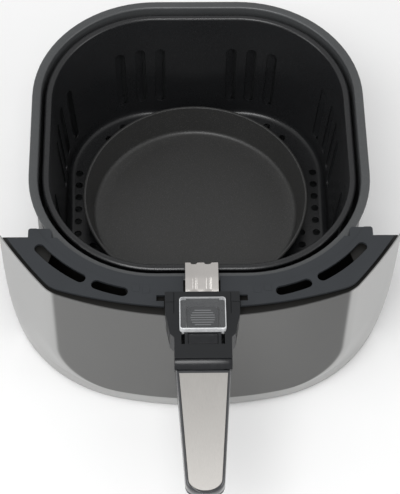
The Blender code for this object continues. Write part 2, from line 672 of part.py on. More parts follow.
def thickened(path, thickness):
    """Outline of a strip along an open path, on the path's left side."""
    moved = []
    for i, (x, y) in enumerate(path):
        ahead, behind = path[min(i + 1, len(path) - 1)], path[max(i - 1, 0)]
        along_x, along_y = ahead[0] - behind[0], ahead[1] - behind[1]
        length = math.hypot(along_x, along_y)
        moved.append((x - thickness * along_y / length, y + thickness * along_x / length))
    return path + moved[::-1]


def pan_brackets(steel, screw_finish):
    high, low = (RIM - drop for drop in BRACKET_DROP)
    strip = thickened(bracket_path(), BRACKET_THICK)
    screws = []
    for side, name in ((-1, "pan_bracket_left"), (1, "pan_bracket_right")):
        bracket = make(name, prism([(side * x, y) for x, y in strip], low, high), steel)
        holes = []
        for drop in BRACKET_SCREW_DROP:
            place = (side * BRACKET_SCREW_X, FRONT_BACK_Y, RIM - drop)
            holes.append(drum(place, SCREW_CLEAR, 0.008, "Y", 10))
            one = screw((0, 0, 0), 0.0075)
            turn = Matrix.Rotation(math.pi / 2, 4, "X")
            head = (place[0], FRONT_BACK_Y + GAP + BRACKET_THICK + GAP + SCREW_HEAD_HIGH, place[2])
            one.transform(Matrix.Translation(head) @ turn)
            screws.append(one)
        cut(bracket, *holes)
    make_each("bracket_screw", screws, screw_finish)


def latch_keeper(steel, screw_finish):
    """Folded strip on the carrier's front wall; the handle's hook lies just short of its ledge."""
    ledge = keeper_ledge_z()
    wall = front_y(KEEPER_HALF_WIDTH, ledge, SKIN_THICK + LINER_SKIN_GAP + LINER_WALL) + GAP
    top = ledge + KEEPER_HIGH
    outline = [(wall, top), (wall, ledge), (keeper_edge_y(), ledge),
               (keeper_edge_y(), ledge + KEEPER_THICK), (wall + KEEPER_THICK, ledge + KEEPER_THICK),
               (wall + KEEPER_THICK, top)]
    keeper = make("latch_keeper", side_prism(outline, -KEEPER_HALF_WIDTH, KEEPER_HALF_WIDTH), steel)
    holes, screws = [], []
    for x in (-KEEPER_SCREW_X, KEEPER_SCREW_X):
        holes.append(drum((x, wall, KEEPER_SCREW_Z), SCREW_CLEAR, 0.006, "Y", 10))
        one = screw((0, 0, 0), SCREW_HEAD_HIGH * 0.6 + KEEPER_THICK + 0.0018)
        head = (x, wall + KEEPER_THICK + GAP + SCREW_HEAD_HIGH, KEEPER_SCREW_Z)
        one.transform(Matrix.Translation(head) @ Matrix.Rotation(math.pi / 2, 4, "X"))
        screws.append(one)
    cut(keeper, *holes)
    make_each("keeper_screw", screws, screw_finish)


def latch_arm_y():
    """Front face of the latch's lower arm at rest."""
    return LATCH_PIVOT[0] + 0.0035


def keeper_edge_y():
    return latch_arm_y() - LATCH_NOSE - KEEPER_GAP


def keeper_ledge_z():
    return RIM + LATCH_PIVOT[1] - LATCH_REACH + LATCH_ARM + SLIDE_GAP


# --- Basket body ----------------------------------------------------------------------------------
def wall_frame(across, side):
    """Place on the basket's wall line at mid height and the direction it faces, for a given x or y."""
    z = BASKET_RIM - VENT_TOP - VENT_LENGTH / 2
    outline = basket_outline(z, 0.0, steps=24)
    for (x0, y0), (x1, y1) in zip(outline, outline[1:] + outline[:1]):
        if side in ("front", "back"):
            hit = min(x0, x1) <= across <= max(x0, x1) and (y0 > 0) == (side == "back") and x0 != x1
            share = (across - x0) / (x1 - x0) if x0 != x1 else 0.0
        else:
            hit = min(y0, y1) <= across <= max(y0, y1) and (x0 > 0) == (side == "right") and y0 != y1
            share = (across - y0) / (y1 - y0) if y0 != y1 else 0.0
        if hit:
            found = (x0 + (x1 - x0) * share, y0 + (y1 - y0) * share, z), math.atan2(y1 - y0, x1 - x0)
    return found


def vent_places():
    places = [(side * x, wall) for x in BACK_VENTS for side in (-1, 1) for wall in ("front", "back")]
    places += [(y, wall) for y in SIDE_VENTS for wall in ("left", "right")]
    return [wall_frame(across, wall) for across, wall in places]


def foot_places():
    return [(side * FOOT_PLACE[0], BASKET_Y + end * FOOT_PLACE[1]) for side in (-1, 1) for end in (-1, 1)]


def strap_line():
    """The strap's inner line in (y, z), from its weld on the basket up, over the pan's rim, to its tang."""
    foot_low = BASKET_RIM - 0.016 - STRAP_FOOT
    foot_high = BASKET_RIM - 0.016
    outside = BASKET_FRONT_Y - 2 * GAP
    tang = RIM + STRAP_TANG_Z
    arch = RIM + STRAP_RISE - STRAP_THICK
    bend = 0.0045

    def wall(z):
        return min(y for _, y in basket_outline(z, 0.0)) - GAP

    return [(wall(foot_low), foot_low), (wall(foot_high), foot_high),
            (outside, BASKET_RIM - BASKET_BEAD_HIGH - 0.003), (outside, arch - bend),
            (outside - 0.3 * bend, arch - 0.3 * bend), (outside - bend, arch),
            (-PAN_HALF_LENGTH - 0.001, arch), (HEAD_BACK_Y + 0.0035, tang + 0.0012),
            (HEAD_BACK_Y + 0.001, tang), (HEAD_BACK_Y - TANG_LENGTH, tang)]


def rivet_places():
    """On the strap's weld length: x, and the height on the wall."""
    low = BASKET_RIM - 0.016 - STRAP_FOOT
    return [(x, low + STRAP_FOOT * share) for x in (-0.006, 0.006) for share in (0.2, 0.75)]


def wall_lean():
    """Angle by which the basket's front wall leans from upright."""
    return math.atan2(BASKET_TAPER_Y, BASKET_DEPTH)


def rivet(x, z, through):
    """Shank with two heads across the basket's wall and the strap, square to the leaning wall."""
    inner = -BASKET_WALL - GAP
    outer = STRAP_THICK + 2 * GAP
    profile = [(RIVET_HEAD, inner - RIVET_HEAD_HIGH), (RIVET_HEAD, inner), (RIVET_RADIUS, inner),
               (RIVET_RADIUS, outer), (RIVET_HEAD, outer), (RIVET_HEAD * 0.7, outer + RIVET_HEAD_HIGH)]
    if through:
        profile = [(RIVET_RADIUS + GAP, -0.006), (RIVET_RADIUS + GAP, 0.006)]
    mesh = lofted([level(circle(radius, 10), up) for radius, up in profile])
    y = min(py for _, py in basket_outline(z, 0.0))
    turn = Matrix.Rotation(math.pi / 2 + wall_lean(), 4, "X")
    mesh.transform(Matrix.Translation((x, y, z)) @ turn)
    return mesh


def basket(material, rivet_finish, foot_finish, carrier):
    neck = BASKET_RIM - BASKET_BEAD_HIGH
    low = BASKET_FLOOR - BASKET_WALL
    outer = [(inset, low + up) for inset, up in fillet_points(BASKET_FLOOR_FILLET, 2)]
    outer += [(0.0, (neck + low) / 2), (0.0, neck), (0.0012 - BASKET_BEAD, neck),
              (-BASKET_BEAD, neck + 0.001),
              (-BASKET_BEAD, BASKET_RIM - 0.0014), (0.0012 - BASKET_BEAD, BASKET_RIM),
              (BASKET_WALL - 0.0012, BASKET_RIM), (BASKET_WALL, BASKET_RIM - 0.0012)]
    inner_fillet = BASKET_FLOOR_FILLET - BASKET_WALL
    inner = [(BASKET_WALL, (neck + low) / 2)]
    inner += [(BASKET_WALL + inset, BASKET_FLOOR + up)
              for inset, up in reversed(fillet_points(inner_fillet, 2))]
    rings = [level(basket_outline(z, inset), z) for inset, z in outer + inner]
    thing = make("basket", lofted(rings), material, carrier, smooth=True)
    openings = []
    for place, facing in vent_places():
        vent = block((-VENT_WIDTH / 2, VENT_WIDTH / 2), (-0.008, 0.008),
                     (-VENT_LENGTH / 2, VENT_LENGTH / 2))
        vent.transform(Matrix.Translation(place) @ Matrix.Rotation(facing, 4, "Z"))
        openings.append(vent)
    openings += [rivet(x, z, through=True) for x, z in rivet_places()]
    stem = FOOT_RADIUS * 0.4
    openings += [drum((x, y, BASKET_FLOOR), stem + GAP, 0.006) for x, y in foot_places()]
    cut(thing, *openings)
    rivets = [rivet(x, z, through=False) for x, z in rivet_places()]
    make_each("strap_rivet", rivets, rivet_finish, carrier)
    feet = []
    for x, y in foot_places():
        profile = [(FOOT_RADIUS * 0.8, PAN_WALL + GAP), (FOOT_RADIUS, PAN_WALL + 0.003),
                   (FOOT_RADIUS, low - GAP), (stem, low - GAP), (stem, BASKET_FLOOR + GAP),
                   (FOOT_RADIUS * 0.6, BASKET_FLOOR + GAP), (stem, BASKET_FLOOR + 0.0018)]
        feet.append(lofted([level(circle(radius, 12, (x, y)), z) for radius, z in profile]))
    make_each("basket_foot", feet, foot_finish, carrier)


def tang_screw_places():
    return [(x, HEAD_BACK_Y - TANG_LENGTH / 2) for x in (-0.0085, 0.0085)]


def handle_strap(material, carrier):
    body = side_prism(thickened(strap_line(), STRAP_THICK), -STRAP_HALF_WIDTH, STRAP_HALF_WIDTH)
    strap = make("handle_strap", body, material, carrier)
    holes = [rivet(x, z, through=True) for x, z in rivet_places()]
    holes += [drum((x, y, RIM + STRAP_TANG_Z), SCREW_CLEAR, 0.006, sides=10)
              for x, y in tang_screw_places()]
    fork = LATCH_HALF_WIDTH + 2 * SLIDE_GAP
    holes.append(block((-fork, fork), (HEAD_BACK_Y - TANG_LENGTH - CUT, HEAD_BACK_Y - 0.001),
                       (RIM, RIM + STRAP_RISE + CUT)))
    cut(strap, *holes)


def head_plan():
    """Half plan of the head on +X, from its back to its front."""
    half, neck = HEAD_HALF_WIDTH, HEAD_NECK_HALF
    narrow, length = HEAD_CHEEK
    cheek_end = HEAD_EAR_FRONT_Y - length
    return [(half, HEAD_BACK_Y), (half, HEAD_EAR_FRONT_Y), (half - narrow, cheek_end),
            (neck, cheek_end - HEAD_NECK_STEP), (neck, HEAD_FRONT_Y)]


def head_screw_places():
    return [(x, HEAD_FRONT_Y + 0.0085) for x in (-0.0145, 0.0145)]


def handle_head(material, carrier):
    """Moulded head: it sits in the trim's notch, holds the strap's tang, and houses button and latch."""
    over_front = FRONT_Y - 0.0015
    half = head_plan()
    outline = half + [(-x, y) for x, y in reversed(half)]
    head = make("handle_head", prism(outline[::-1], RIM + SLIDE_GAP, HEAD_Z), material, carrier)
    front = [(HEAD_HALF_WIDTH - 0.0005, over_front)] + [(x, y) for x, y in half if y < over_front]
    outline = front + [(-x, y) for x, y in reversed(front)]
    join(head, prism(outline[::-1], HEAD_Z - HEAD_DEPTH, HEAD_Z))

    floor = HEAD_Z - HEAD_DEPTH
    button_room = block((-BUTTON_HALF_WIDTH - SLIDE_GAP, BUTTON_HALF_WIDTH + SLIDE_GAP),
                        (BUTTON_Y[0] - SLIDE_GAP, BUTTON_Y[1] + SLIDE_GAP), (floor - CUT, HEAD_Z + CUT))
    latch_room = block((-LATCH_HALF_WIDTH - SLIDE_GAP, LATCH_HALF_WIDTH + SLIDE_GAP),
                       (BUTTON_Y[0], latch_arm_y() + LATCH_ARM + 0.002), (floor - CUT, HEAD_Z - 0.0015))
    cut(head, button_room, latch_room)
    tang = RIM + STRAP_TANG_Z
    tang_room = block((-STRAP_HALF_WIDTH - GAP, STRAP_HALF_WIDTH + GAP),
                      (HEAD_BACK_Y - TANG_LENGTH - GAP, HEAD_BACK_Y + CUT),
                      (tang - STRAP_THICK - GAP, tang + GAP))
    mouth = block((-STRAP_HALF_WIDTH - GAP, STRAP_HALF_WIDTH + GAP),
                  (HEAD_BACK_Y - 0.0008, HEAD_BACK_Y + CUT),
                  (tang - STRAP_THICK - GAP, tang + 0.0012))
    pin_hole = drum((0, LATCH_PIVOT[0], RIM + LATCH_PIVOT[1]), LATCH_PIN_RADIUS + GAP,
                    2 * (LATCH_HALF_WIDTH + 0.0045), "X")
    holes = []
    for x, y in tang_screw_places():
        holes.append(drum((x, y, tang), SCREW_CLEAR, 2 * TANG_SCREW_GRIP, sides=10))
        holes.append(drum((x, y, RIM), SCREW_HEAD + GAP, 2 * (STRAP_TANG_Z - STRAP_THICK / 2)))
    holes += [drum((x, y, floor), SCREW_CLEAR, 2 * 0.010, sides=10) for x, y in head_screw_places()]
    cut(head, tang_room, mouth)
    cut(head, pin_hole, *holes)
    tracks = [block((x - TRACK_HALF_WIDTH, x + TRACK_HALF_WIDTH),
                    (GUARD_Y[0] - GUARD_TRAVEL - SLIDE_GAP, GUARD_Y[0] + GUARD_FOOT_LENGTH + SLIDE_GAP),
                    (HEAD_Z - 0.003, HEAD_Z + CUT)) for x in (-GUARD_FOOT_X, GUARD_FOOT_X)]
    recess = block((-TRACK_PLATE_HALF - GAP, TRACK_PLATE_HALF + GAP),
                   (GUARD_Y[0] - GUARD_TRAVEL - SLIDE_GAP, BUTTON_Y[0] - 0.0018),
                   (HEAD_Z - TRACK_RECESS, HEAD_Z + CUT))
    cut(head, recess, *tracks)


def track_plate(material, carrier):
    """Dark insert on the floor of the recess between the guard's two tracks."""
    low = HEAD_Z - TRACK_RECESS + GAP
    plate = block((-TRACK_PLATE_HALF, TRACK_PLATE_HALF),
                  (GUARD_Y[0] - GUARD_TRAVEL, BUTTON_Y[0] - 0.0018 - GAP - 0.0001),
                  (low, low + TRACK_PLATE_THICK))
    make("track_plate", plate, material, carrier)


def head_cover(material, carrier):
    """Plate that closes the head from below and carries the button's spring."""
    high = HEAD_Z - HEAD_DEPTH - GAP
    low = high - 0.002
    back = FRONT_Y - 0.0020
    inside = HEAD_NECK_HALF - 0.0005
    cover = make("head_cover", block((-inside, inside), (HEAD_FRONT_Y + 0.0005, back), (low, high)),
                 material, carrier)
    join(cover, drum((0, SPRING_Y, high + 0.002), SPRING_RADIUS - 2 * SPRING_WIRE - SLIDE_GAP, 0.006))
    cut(cover, *[drum((x, y, low), SCREW_CLEAR, 0.008, sides=10) for x, y in head_screw_places()])


def head_screws(material, carrier):
    low = HEAD_Z - HEAD_DEPTH - GAP - 0.002 - GAP - SCREW_HEAD_HIGH
    screws = [screw((x, y, low), 0.0125) for x, y in head_screw_places()]
    make_each("head_screw", screws, material, carrier)
    start = RIM + STRAP_TANG_Z - STRAP_THICK - GAP - SCREW_HEAD_HIGH
    length = SCREW_HEAD_HIGH + STRAP_THICK + TANG_SCREW_GRIP
    tangs = [screw((x, y, start), length) for x, y in tang_screw_places()]
    make_each("tang_screw", tangs, material, carrier)


def latch_pin(material, carrier):
    pin = drum((0, LATCH_PIVOT[0], RIM + LATCH_PIVOT[1]), LATCH_PIN_RADIUS,
               2 * (LATCH_HALF_WIDTH + 0.004), "X")
    make("latch_pin", pin, material, carrier, smooth=True)


def latch_lever(material, carrier):
    pivot_y, pivot_up = LATCH_PIVOT
    pivot_z = RIM + pivot_up
    arm = latch_arm_y()
    tip = pivot_z - LATCH_REACH
    press_y = SPRING_Y + SPRING_RADIUS + 0.0012
    press_top = HEAD_Z + BUTTON_PROUD - BUTTON_THICK - GAP
    outline = [(press_y, press_top), (press_y, press_top - LATCH_ARM), (pivot_y - 0.003, pivot_z - LATCH_EYE),
               (arm, pivot_z - LATCH_EYE), (arm, tip + LATCH_ARM), (arm - LATCH_NOSE, tip + LATCH_ARM),
               (arm - LATCH_NOSE, tip + 0.001), (arm - LATCH_NOSE + 0.001, tip), (arm + LATCH_ARM, tip),
               (arm + LATCH_ARM, pivot_z + 0.001), (pivot_y + 0.0022, pivot_z + LATCH_EYE),
               (pivot_y - 0.0022, pivot_z + LATCH_EYE), (BUTTON_Y[1] + 2 * GAP, pivot_z - GAP)]
    lever = make("latch_lever", side_prism(outline, -LATCH_HALF_WIDTH, LATCH_HALF_WIDTH), material, carrier)
    cut(lever, drum((0, pivot_y, pivot_z), LATCH_PIN_RADIUS + GAP, 0.02, "X"))


def release_button(material, carrier):
    """Button with a domed, ridged thumb area."""
    top = HEAD_Z + BUTTON_PROUD
    mid_y = (BUTTON_Y[0] + BUTTON_Y[1]) / 2
    half_y = (BUTTON_Y[1] - BUTTON_Y[0]) / 2
    steps = [(0.0, top - BUTTON_THICK), (0.0, top - 0.0008), (0.0008, top)]
    rings = [level(rounded_rectangle(BUTTON_HALF_WIDTH - inset, half_y - inset, 0.003 - inset, 3, mid_y), z)
             for inset, z in steps]
    button = make("release_button", lofted(rings), material, carrier, smooth=True)
    ridges = []
    for row in range(-2, 3):
        reach = 0.0085 * math.sqrt(1 - (row / 3) ** 2)
        y = mid_y + row * 0.0024
        ridges.append(block((-reach, reach), (y - BUTTON_RIDGE, y + BUTTON_RIDGE),
                            (top - 0.0003, top + BUTTON_RIDGE)))
    join(button, *ridges)


def button_spring(material, carrier):
    low = HEAD_Z - HEAD_DEPTH + 2 * GAP
    high = HEAD_Z + BUTTON_PROUD - BUTTON_THICK - 2 * GAP
    radius = SPRING_RADIUS - SPRING_WIRE
    steps = SPRING_TURNS * 10
    curve = bpy.data.curves.new("button_spring", "CURVE")
    curve.dimensions = "3D"
    curve.bevel_depth = SPRING_WIRE
    curve.bevel_resolution = 1
    curve.use_fill_caps = True
    line = curve.splines.new("POLY")
    line.points.add(steps)
    for step, point in enumerate(line.points):
        angle = 2 * math.pi * step / 10
        z = low + SPRING_WIRE + (high - low - 2 * SPRING_WIRE) * step / steps
        point.co = (radius * math.cos(angle), SPRING_Y + radius * math.sin(angle), z, 1.0)
    curve.materials.append(material)
    thing = bpy.data.objects.new("button_spring", curve)
    bpy.context.scene.collection.objects.link(thing)
    thing.parent = carrier
    thing.matrix_parent_inverse = Matrix.Translation(carrier.location).inverted()


def button_guard(material, carrier):
    """Clear cover over the button, with two feet that run in the head's tracks."""
    low = HEAD_Z + SLIDE_GAP
    high = low + GUARD_HIGH
    mid_y = (GUARD_Y[0] + GUARD_Y[1]) / 2
    half_y = (GUARD_Y[1] - GUARD_Y[0]) / 2
    outer = [(0.0, low), (0.0, high - 0.001), (0.001, high)]

    def ring(inset, z):
        outline = rounded_rectangle(GUARD_HALF_WIDTH - inset, half_y - inset, 0.002 - 0.7 * inset, 3, mid_y)
        return level(outline, z)

    shell = lofted([ring(inset, z) for inset, z in outer])
    guard = make("button_guard", shell, material, carrier)
    cut(guard, lofted([ring(GUARD_WALL, low - CUT), ring(GUARD_WALL, high - GUARD_WALL)]))
    over_button = HEAD_Z + BUTTON_PROUD + BUTTON_RIDGE + SLIDE_GAP
    cut(guard, block((-BUTTON_HALF_WIDTH - SLIDE_GAP, BUTTON_HALF_WIDTH + SLIDE_GAP),
                     (GUARD_Y[1] - 2 * GUARD_WALL, GUARD_Y[1] + CUT), (low - CUT, over_button)))
    feet = [block((x - GUARD_FOOT_HALF, x + GUARD_FOOT_HALF), (GUARD_Y[0], GUARD_Y[0] + GUARD_FOOT_LENGTH),
                  (HEAD_Z - 0.0025, low + 0.0015)) for x in (-GUARD_FOOT_X, GUARD_FOOT_X)]
    join(guard, *feet)


# --- Grip -----------------------------------------------------------------------------------------
def grip_section(share, inset):
    """The grip at a share of its length: y, half width, top, bottom and parting line."""
    y = grip_y(share)
    half = GRIP_HALF_WIDTH + (GRIP_TIP_HALF - GRIP_HALF_WIDTH) * min(share / 0.9, 1.0)
    end = max(share - 0.9, 0.0) / 0.1
    half *= math.sqrt(max(1 - 0.75 * end * end, 0.05))
    top = RIM + GRIP_TOP - GRIP_FALL * share ** 1.5 - 0.0035 * end * end
    bottom = top - GRIP_THICK * (1 - 0.12 * share) + 0.006 * end * end
    split = top - GRIP_SPLIT * (1 - 0.3 * end)
    return y, half - inset, top - inset, bottom + inset, split


def grip_y(share):
    return HEAD_FRONT_Y - GAP - GRIP_LENGTH * share


def half_section(section, upper, split_over):
    """The part of a section above or below its parting line."""
    y, half, top, bottom, split = section
    soft = min(0.004, half * 0.4)
    if upper:
        edge = split + GAP / 2 - split_over
        points = [(half, edge), (half, top - soft), (half - 0.3 * soft, top - 0.3 * soft), (half - soft, top)]
    else:
        edge = split - GAP / 2 + split_over
        points = [(half, edge), (half, bottom + 1.6 * soft), (half - 0.5 * soft, bottom + 0.5 * soft),
                  (half - 1.6 * soft, bottom)]
    loop = points + [(-x, z) for x, z in reversed(points)]
    return [(x, y, z) for x, z in loop]


def grip_shell(name, upper, material, carrier):
    rings = [half_section(grip_section(share, 0.0), upper, 0.0) for share in GRIP_SHARES]
    shell = make(name, lofted(rings), material, carrier, smooth=True)
    inner_shares = [0.03] + [share for share in GRIP_SHARES if 0.03 < share < 0.95] + [0.955]
    rings = [half_section(grip_section(share, GRIP_WALL + (0.0 if not upper else INLAY_THICK)), upper, CUT)
             for share in inner_shares]
    cut(shell, lofted(rings))
    return shell


def inlay_rings(margin, low, high_extra):
    """Stack that follows the grip's top, inside its edge by a margin."""
    start = INLAY_START / GRIP_LENGTH
    shares = [start, 0.2, 0.4, 0.6, 0.8, 0.88, 0.925, 0.955 - (margin - INLAY_MARGIN) / GRIP_LENGTH]
    rings = []
    for share in shares:
        y, half, top, _, _ = grip_section(share, 0.0)
        if share > 0.95:
            half *= 0.62 / 0.9
        if share == start:
            y -= margin - INLAY_MARGIN
        rings.append([(half - margin, y, top + low), (half - margin, y, top + high_extra),
                      (-half + margin, y, top + high_extra), (-half + margin, y, top + low)])
    return rings


def grip_parts(frame_finish, base_finish, inlay_finish, screw_finish, carrier):
    frame = grip_shell("grip_frame", True, frame_finish, carrier)
    base = grip_shell("grip_base", False, base_finish, carrier)
    pocket = lofted(inlay_rings(INLAY_MARGIN - GAP, -INLAY_THICK - GAP, CUT))
    cut(frame, pocket)
    make("grip_inlay", lofted(inlay_rings(INLAY_MARGIN, -INLAY_THICK, 0.0002)), inlay_finish, carrier)
    bosses, posts, holes, heads, screws = [], [], [], [], []
    for share in GRIP_SCREW_SHARES:
        y, _, top, bottom, split = grip_section(share, 0.0)
        roof = top - INLAY_THICK - GRIP_WALL
        posts.append(drum((0, y, (split + GAP / 2 + roof + 0.0008) / 2), BOSS_RADIUS,
                          roof + 0.0008 - split - GAP / 2))
        bosses.append(drum((0, y, (split - GAP / 2 + bottom + 0.001) / 2), BOSS_RADIUS,
                           split - GAP / 2 - bottom - 0.001))
        head = bottom + 0.0035
        screws.append(screw((0, y, head), split + 0.0035 - head))
        holes.append(drum((0, y, split), SCREW_CLEAR, 2 * 0.0042, sides=10))
        heads.append(drum((0, y, head - 0.005 + (SCREW_HEAD_HIGH + GAP) / 2), SCREW_HEAD + GAP,
                          0.010 + SCREW_HEAD_HIGH + GAP))
    for_base = [drum((0, grip_section(share, 0.0)[0], RIM - 0.012), SCREW_CLEAR, 0.06, sides=10)
                for share in GRIP_SCREW_SHARES]
    join(frame, *posts)
    cut(frame, *holes)
    join(base, *bosses)
    cut(base, *for_base)
    cut(base, *heads)
    make_each("grip_screw", screws, screw_finish, carrier)


def junction_band(material, carrier):
    """Glossy wedge in the step between the head's top and the grip's."""
    high, low = HEAD_Z - BAND_STEP, RIM + GRIP_TOP + GAP
    rings = []
    for share in [step / 4 for step in range(5)]:
        y = HEAD_FRONT_Y - GAP - BAND_LENGTH * share
        top = high - (high - low - BAND_STEP) * share ** 1.6
        rings.append([(HEAD_NECK_HALF, y, low), (HEAD_NECK_HALF, y, top),
                      (-HEAD_NECK_HALF, y, top), (-HEAD_NECK_HALF, y, low)])
    make("junction_band", lofted(rings), material, carrier, smooth=True)


# --- Baking pan -----------------------------------------------------------------------------------
def baking_pan(material, carrier):
    floor = BASKET_FLOOR + GAP
    rim = floor + BAKING_HEIGHT
    lean = BAKING_LEAN / BAKING_HEIGHT

    def wall(z):
        return BAKING_FLOOR_RADIUS + lean * (z - floor)

    outer = [(BAKING_FLOOR_RADIUS - inset, floor + up) for inset, up in fillet_points(BAKING_FILLET, 2)]
    outer += [(wall(rim - BAKING_RIM_ROLL), rim - BAKING_RIM_ROLL),
              (BAKING_RIM_RADIUS, rim - BAKING_RIM_ROLL * 0.7),
              (BAKING_RIM_RADIUS, rim - BAKING_RIM_ROLL * 0.3), (BAKING_RIM_RADIUS - 0.0006, rim)]
    inner = [(wall(rim) - BAKING_WALL + 0.0004, rim), (wall(rim - 0.001) - BAKING_WALL, rim - 0.001)]
    inside = BAKING_FILLET - BAKING_WALL
    inner += [(BAKING_FLOOR_RADIUS - BAKING_WALL - inset, floor + BAKING_WALL + up)
              for inset, up in reversed(fillet_points(inside, 2))]
    rings = [level(circle(radius, 40, BAKING_PLACE), z) for radius, z in outer + inner]
    make("baking_pan", lofted(rings), material, carrier, smooth=True)


# --- Build ----------------------------------------------------------------------------------------
def build():
    for thing in list(bpy.data.objects):
        bpy.data.objects.remove(thing, do_unlink=True)

    pan_steel = finish("pan_coating", (0.10, 0.10, 0.105), 0.38, 0.6)
    steel = finish("brushed_steel", (0.52, 0.52, 0.50), 0.30, 1.0)
    strap_steel = finish("strap_steel", (0.62, 0.60, 0.57), 0.28, 1.0)
    fixings = finish("zinc_screws", (0.45, 0.45, 0.45), 0.35, 1.0)
    trim = finish("charcoal_plastic", (0.045, 0.050, 0.056), 0.55)
    black = finish("black_plastic", (0.012, 0.012, 0.012), 0.50)
    gloss = finish("gloss_black", (0.015, 0.016, 0.018), 0.18)
    coating = finish("nonstick_coating", (0.020, 0.021, 0.023), 0.42)
    clear = finish("clear_plastic", (0.90, 0.91, 0.92), 0.08, 0.0, 0.3)
    silicone = finish("silicone", (0.03, 0.03, 0.03), 0.7)
    inlay = finish("satin_inlay", (0.58, 0.55, 0.52), 0.36, 1.0)
    spring_steel = finish("spring_steel", (0.5, 0.5, 0.5), 0.3, 1.0)

    drawer_pan(pan_steel)
    fascia_skin(steel)
    liner = fascia_liner(black)
    cover = base_cover(black)
    base_fixing(liner, cover, fixings)
    top_deck(trim)
    deck_screws(fixings)
    pan_brackets(steel, fixings)
    latch_keeper(steel, fixings)

    lift = joint_empty("basket_lift", (0, BASKET_Y, BASKET_RIM))
    basket(coating, fixings, silicone, lift)
    handle_strap(strap_steel, lift)
    handle_head(trim, lift)
    track_plate(gloss, lift)
    head_cover(trim, lift)
    head_screws(fixings, lift)
    latch_pin(fixings, lift)
    junction_band(gloss, lift)
    grip_parts(gloss, trim, inlay, fixings, lift)
    button_spring(spring_steel, lift)

    press = joint_empty("button_press", (0, (BUTTON_Y[0] + BUTTON_Y[1]) / 2, HEAD_Z), lift)
    release_button(trim, press)
    pivot = joint_empty("latch_pivot", (0, LATCH_PIVOT[0], RIM + LATCH_PIVOT[1]), lift)
    latch_lever(black, pivot)
    slide = joint_empty("guard_slide", (0, (GUARD_Y[0] + GUARD_Y[1]) / 2, HEAD_Z), lift)
    button_guard(clear, slide)
    out = joint_empty("baking_pan_lift", (*BAKING_PLACE, BASKET_FLOOR), lift)
    baking_pan(coating, out)


build()
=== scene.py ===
"""Drawer set of a basket air fryer, pulled out and standing on a pale table: a coated steel pan
with a brushed front, and in it a perforated basket with a handle and a round baking pan."""
import math

import bmesh
import bpy
from mathutils import Matrix, Vector


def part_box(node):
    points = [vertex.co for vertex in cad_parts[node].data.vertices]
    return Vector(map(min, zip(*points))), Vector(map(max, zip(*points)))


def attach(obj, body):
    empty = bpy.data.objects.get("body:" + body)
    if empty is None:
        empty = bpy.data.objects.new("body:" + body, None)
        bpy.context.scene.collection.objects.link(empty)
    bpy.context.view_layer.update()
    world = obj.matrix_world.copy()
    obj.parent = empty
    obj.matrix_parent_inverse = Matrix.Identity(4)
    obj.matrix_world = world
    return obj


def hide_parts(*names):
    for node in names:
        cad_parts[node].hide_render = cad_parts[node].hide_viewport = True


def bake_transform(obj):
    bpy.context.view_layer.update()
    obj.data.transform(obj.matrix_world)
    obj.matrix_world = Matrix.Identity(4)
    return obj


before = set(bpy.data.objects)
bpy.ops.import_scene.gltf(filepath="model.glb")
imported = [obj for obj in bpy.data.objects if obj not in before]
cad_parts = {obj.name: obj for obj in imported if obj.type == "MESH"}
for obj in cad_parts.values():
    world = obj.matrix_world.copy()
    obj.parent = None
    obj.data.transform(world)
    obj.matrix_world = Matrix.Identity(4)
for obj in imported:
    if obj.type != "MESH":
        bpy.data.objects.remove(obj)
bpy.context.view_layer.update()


# Camera: a long lens that looks down on the drawer from the handle's side, a little to its left.
CAMERA_PLACE = Vector((-0.0272, -0.8459, 1.2374))
CAMERA_DOWN = math.radians(56.01)
CAMERA_YAW = math.radians(-2.05)
CAMERA_ROLL = math.radians(1.33)

forward = Vector((-math.sin(CAMERA_YAW) * math.cos(CAMERA_DOWN),
                  math.cos(CAMERA_YAW) * math.cos(CAMERA_DOWN), -math.sin(CAMERA_DOWN)))
level_right = Vector((math.cos(CAMERA_YAW), math.sin(CAMERA_YAW), 0.0))
level_up = level_right.cross(forward)
right = level_right * math.cos(CAMERA_ROLL) + level_up * math.sin(CAMERA_ROLL)
up = level_up * math.cos(CAMERA_ROLL) - level_right * math.sin(CAMERA_ROLL)
camera = bpy.data.objects.new("camera", bpy.data.cameras.new("camera"))
camera.data.lens = 130.4
camera.data.sensor_width = 36.0
camera.data.clip_start = 0.05
camera.matrix_world = Matrix.Translation(CAMERA_PLACE) @ Matrix((right, up, -forward)).transposed().to_4x4()
bpy.context.scene.collection.objects.link(camera)
bpy.context.scene.camera = camera


# Table and light: a plain pale sheet under a bright, even room, with a broad soft box overhead
# and a long one on either side, so that rims and the steel's sides take clean highlights.
TABLE_HALF = 6.0
TABLE_COLOUR = (0.90, 0.90, 0.90, 1.0)
ROOM_COLOUR = (1.0, 1.0, 1.0, 1.0)
ROOM_STRENGTH = 0.62
SOFT_BOXES = {   # name: (place, aim, width, height, watts)
    "overhead": ((-0.3, -1.05, 1.85), (0.0, -0.05, 0.1), 1.1, 0.7, 20.0),
    "left_box": ((-1.5, -0.5, 0.75), (0.0, -0.05, 0.08), 0.9, 1.0, 7.0),
    "right_box": ((1.5, -0.5, 0.75), (0.0, -0.05, 0.08), 0.9, 1.0, 5.5)}


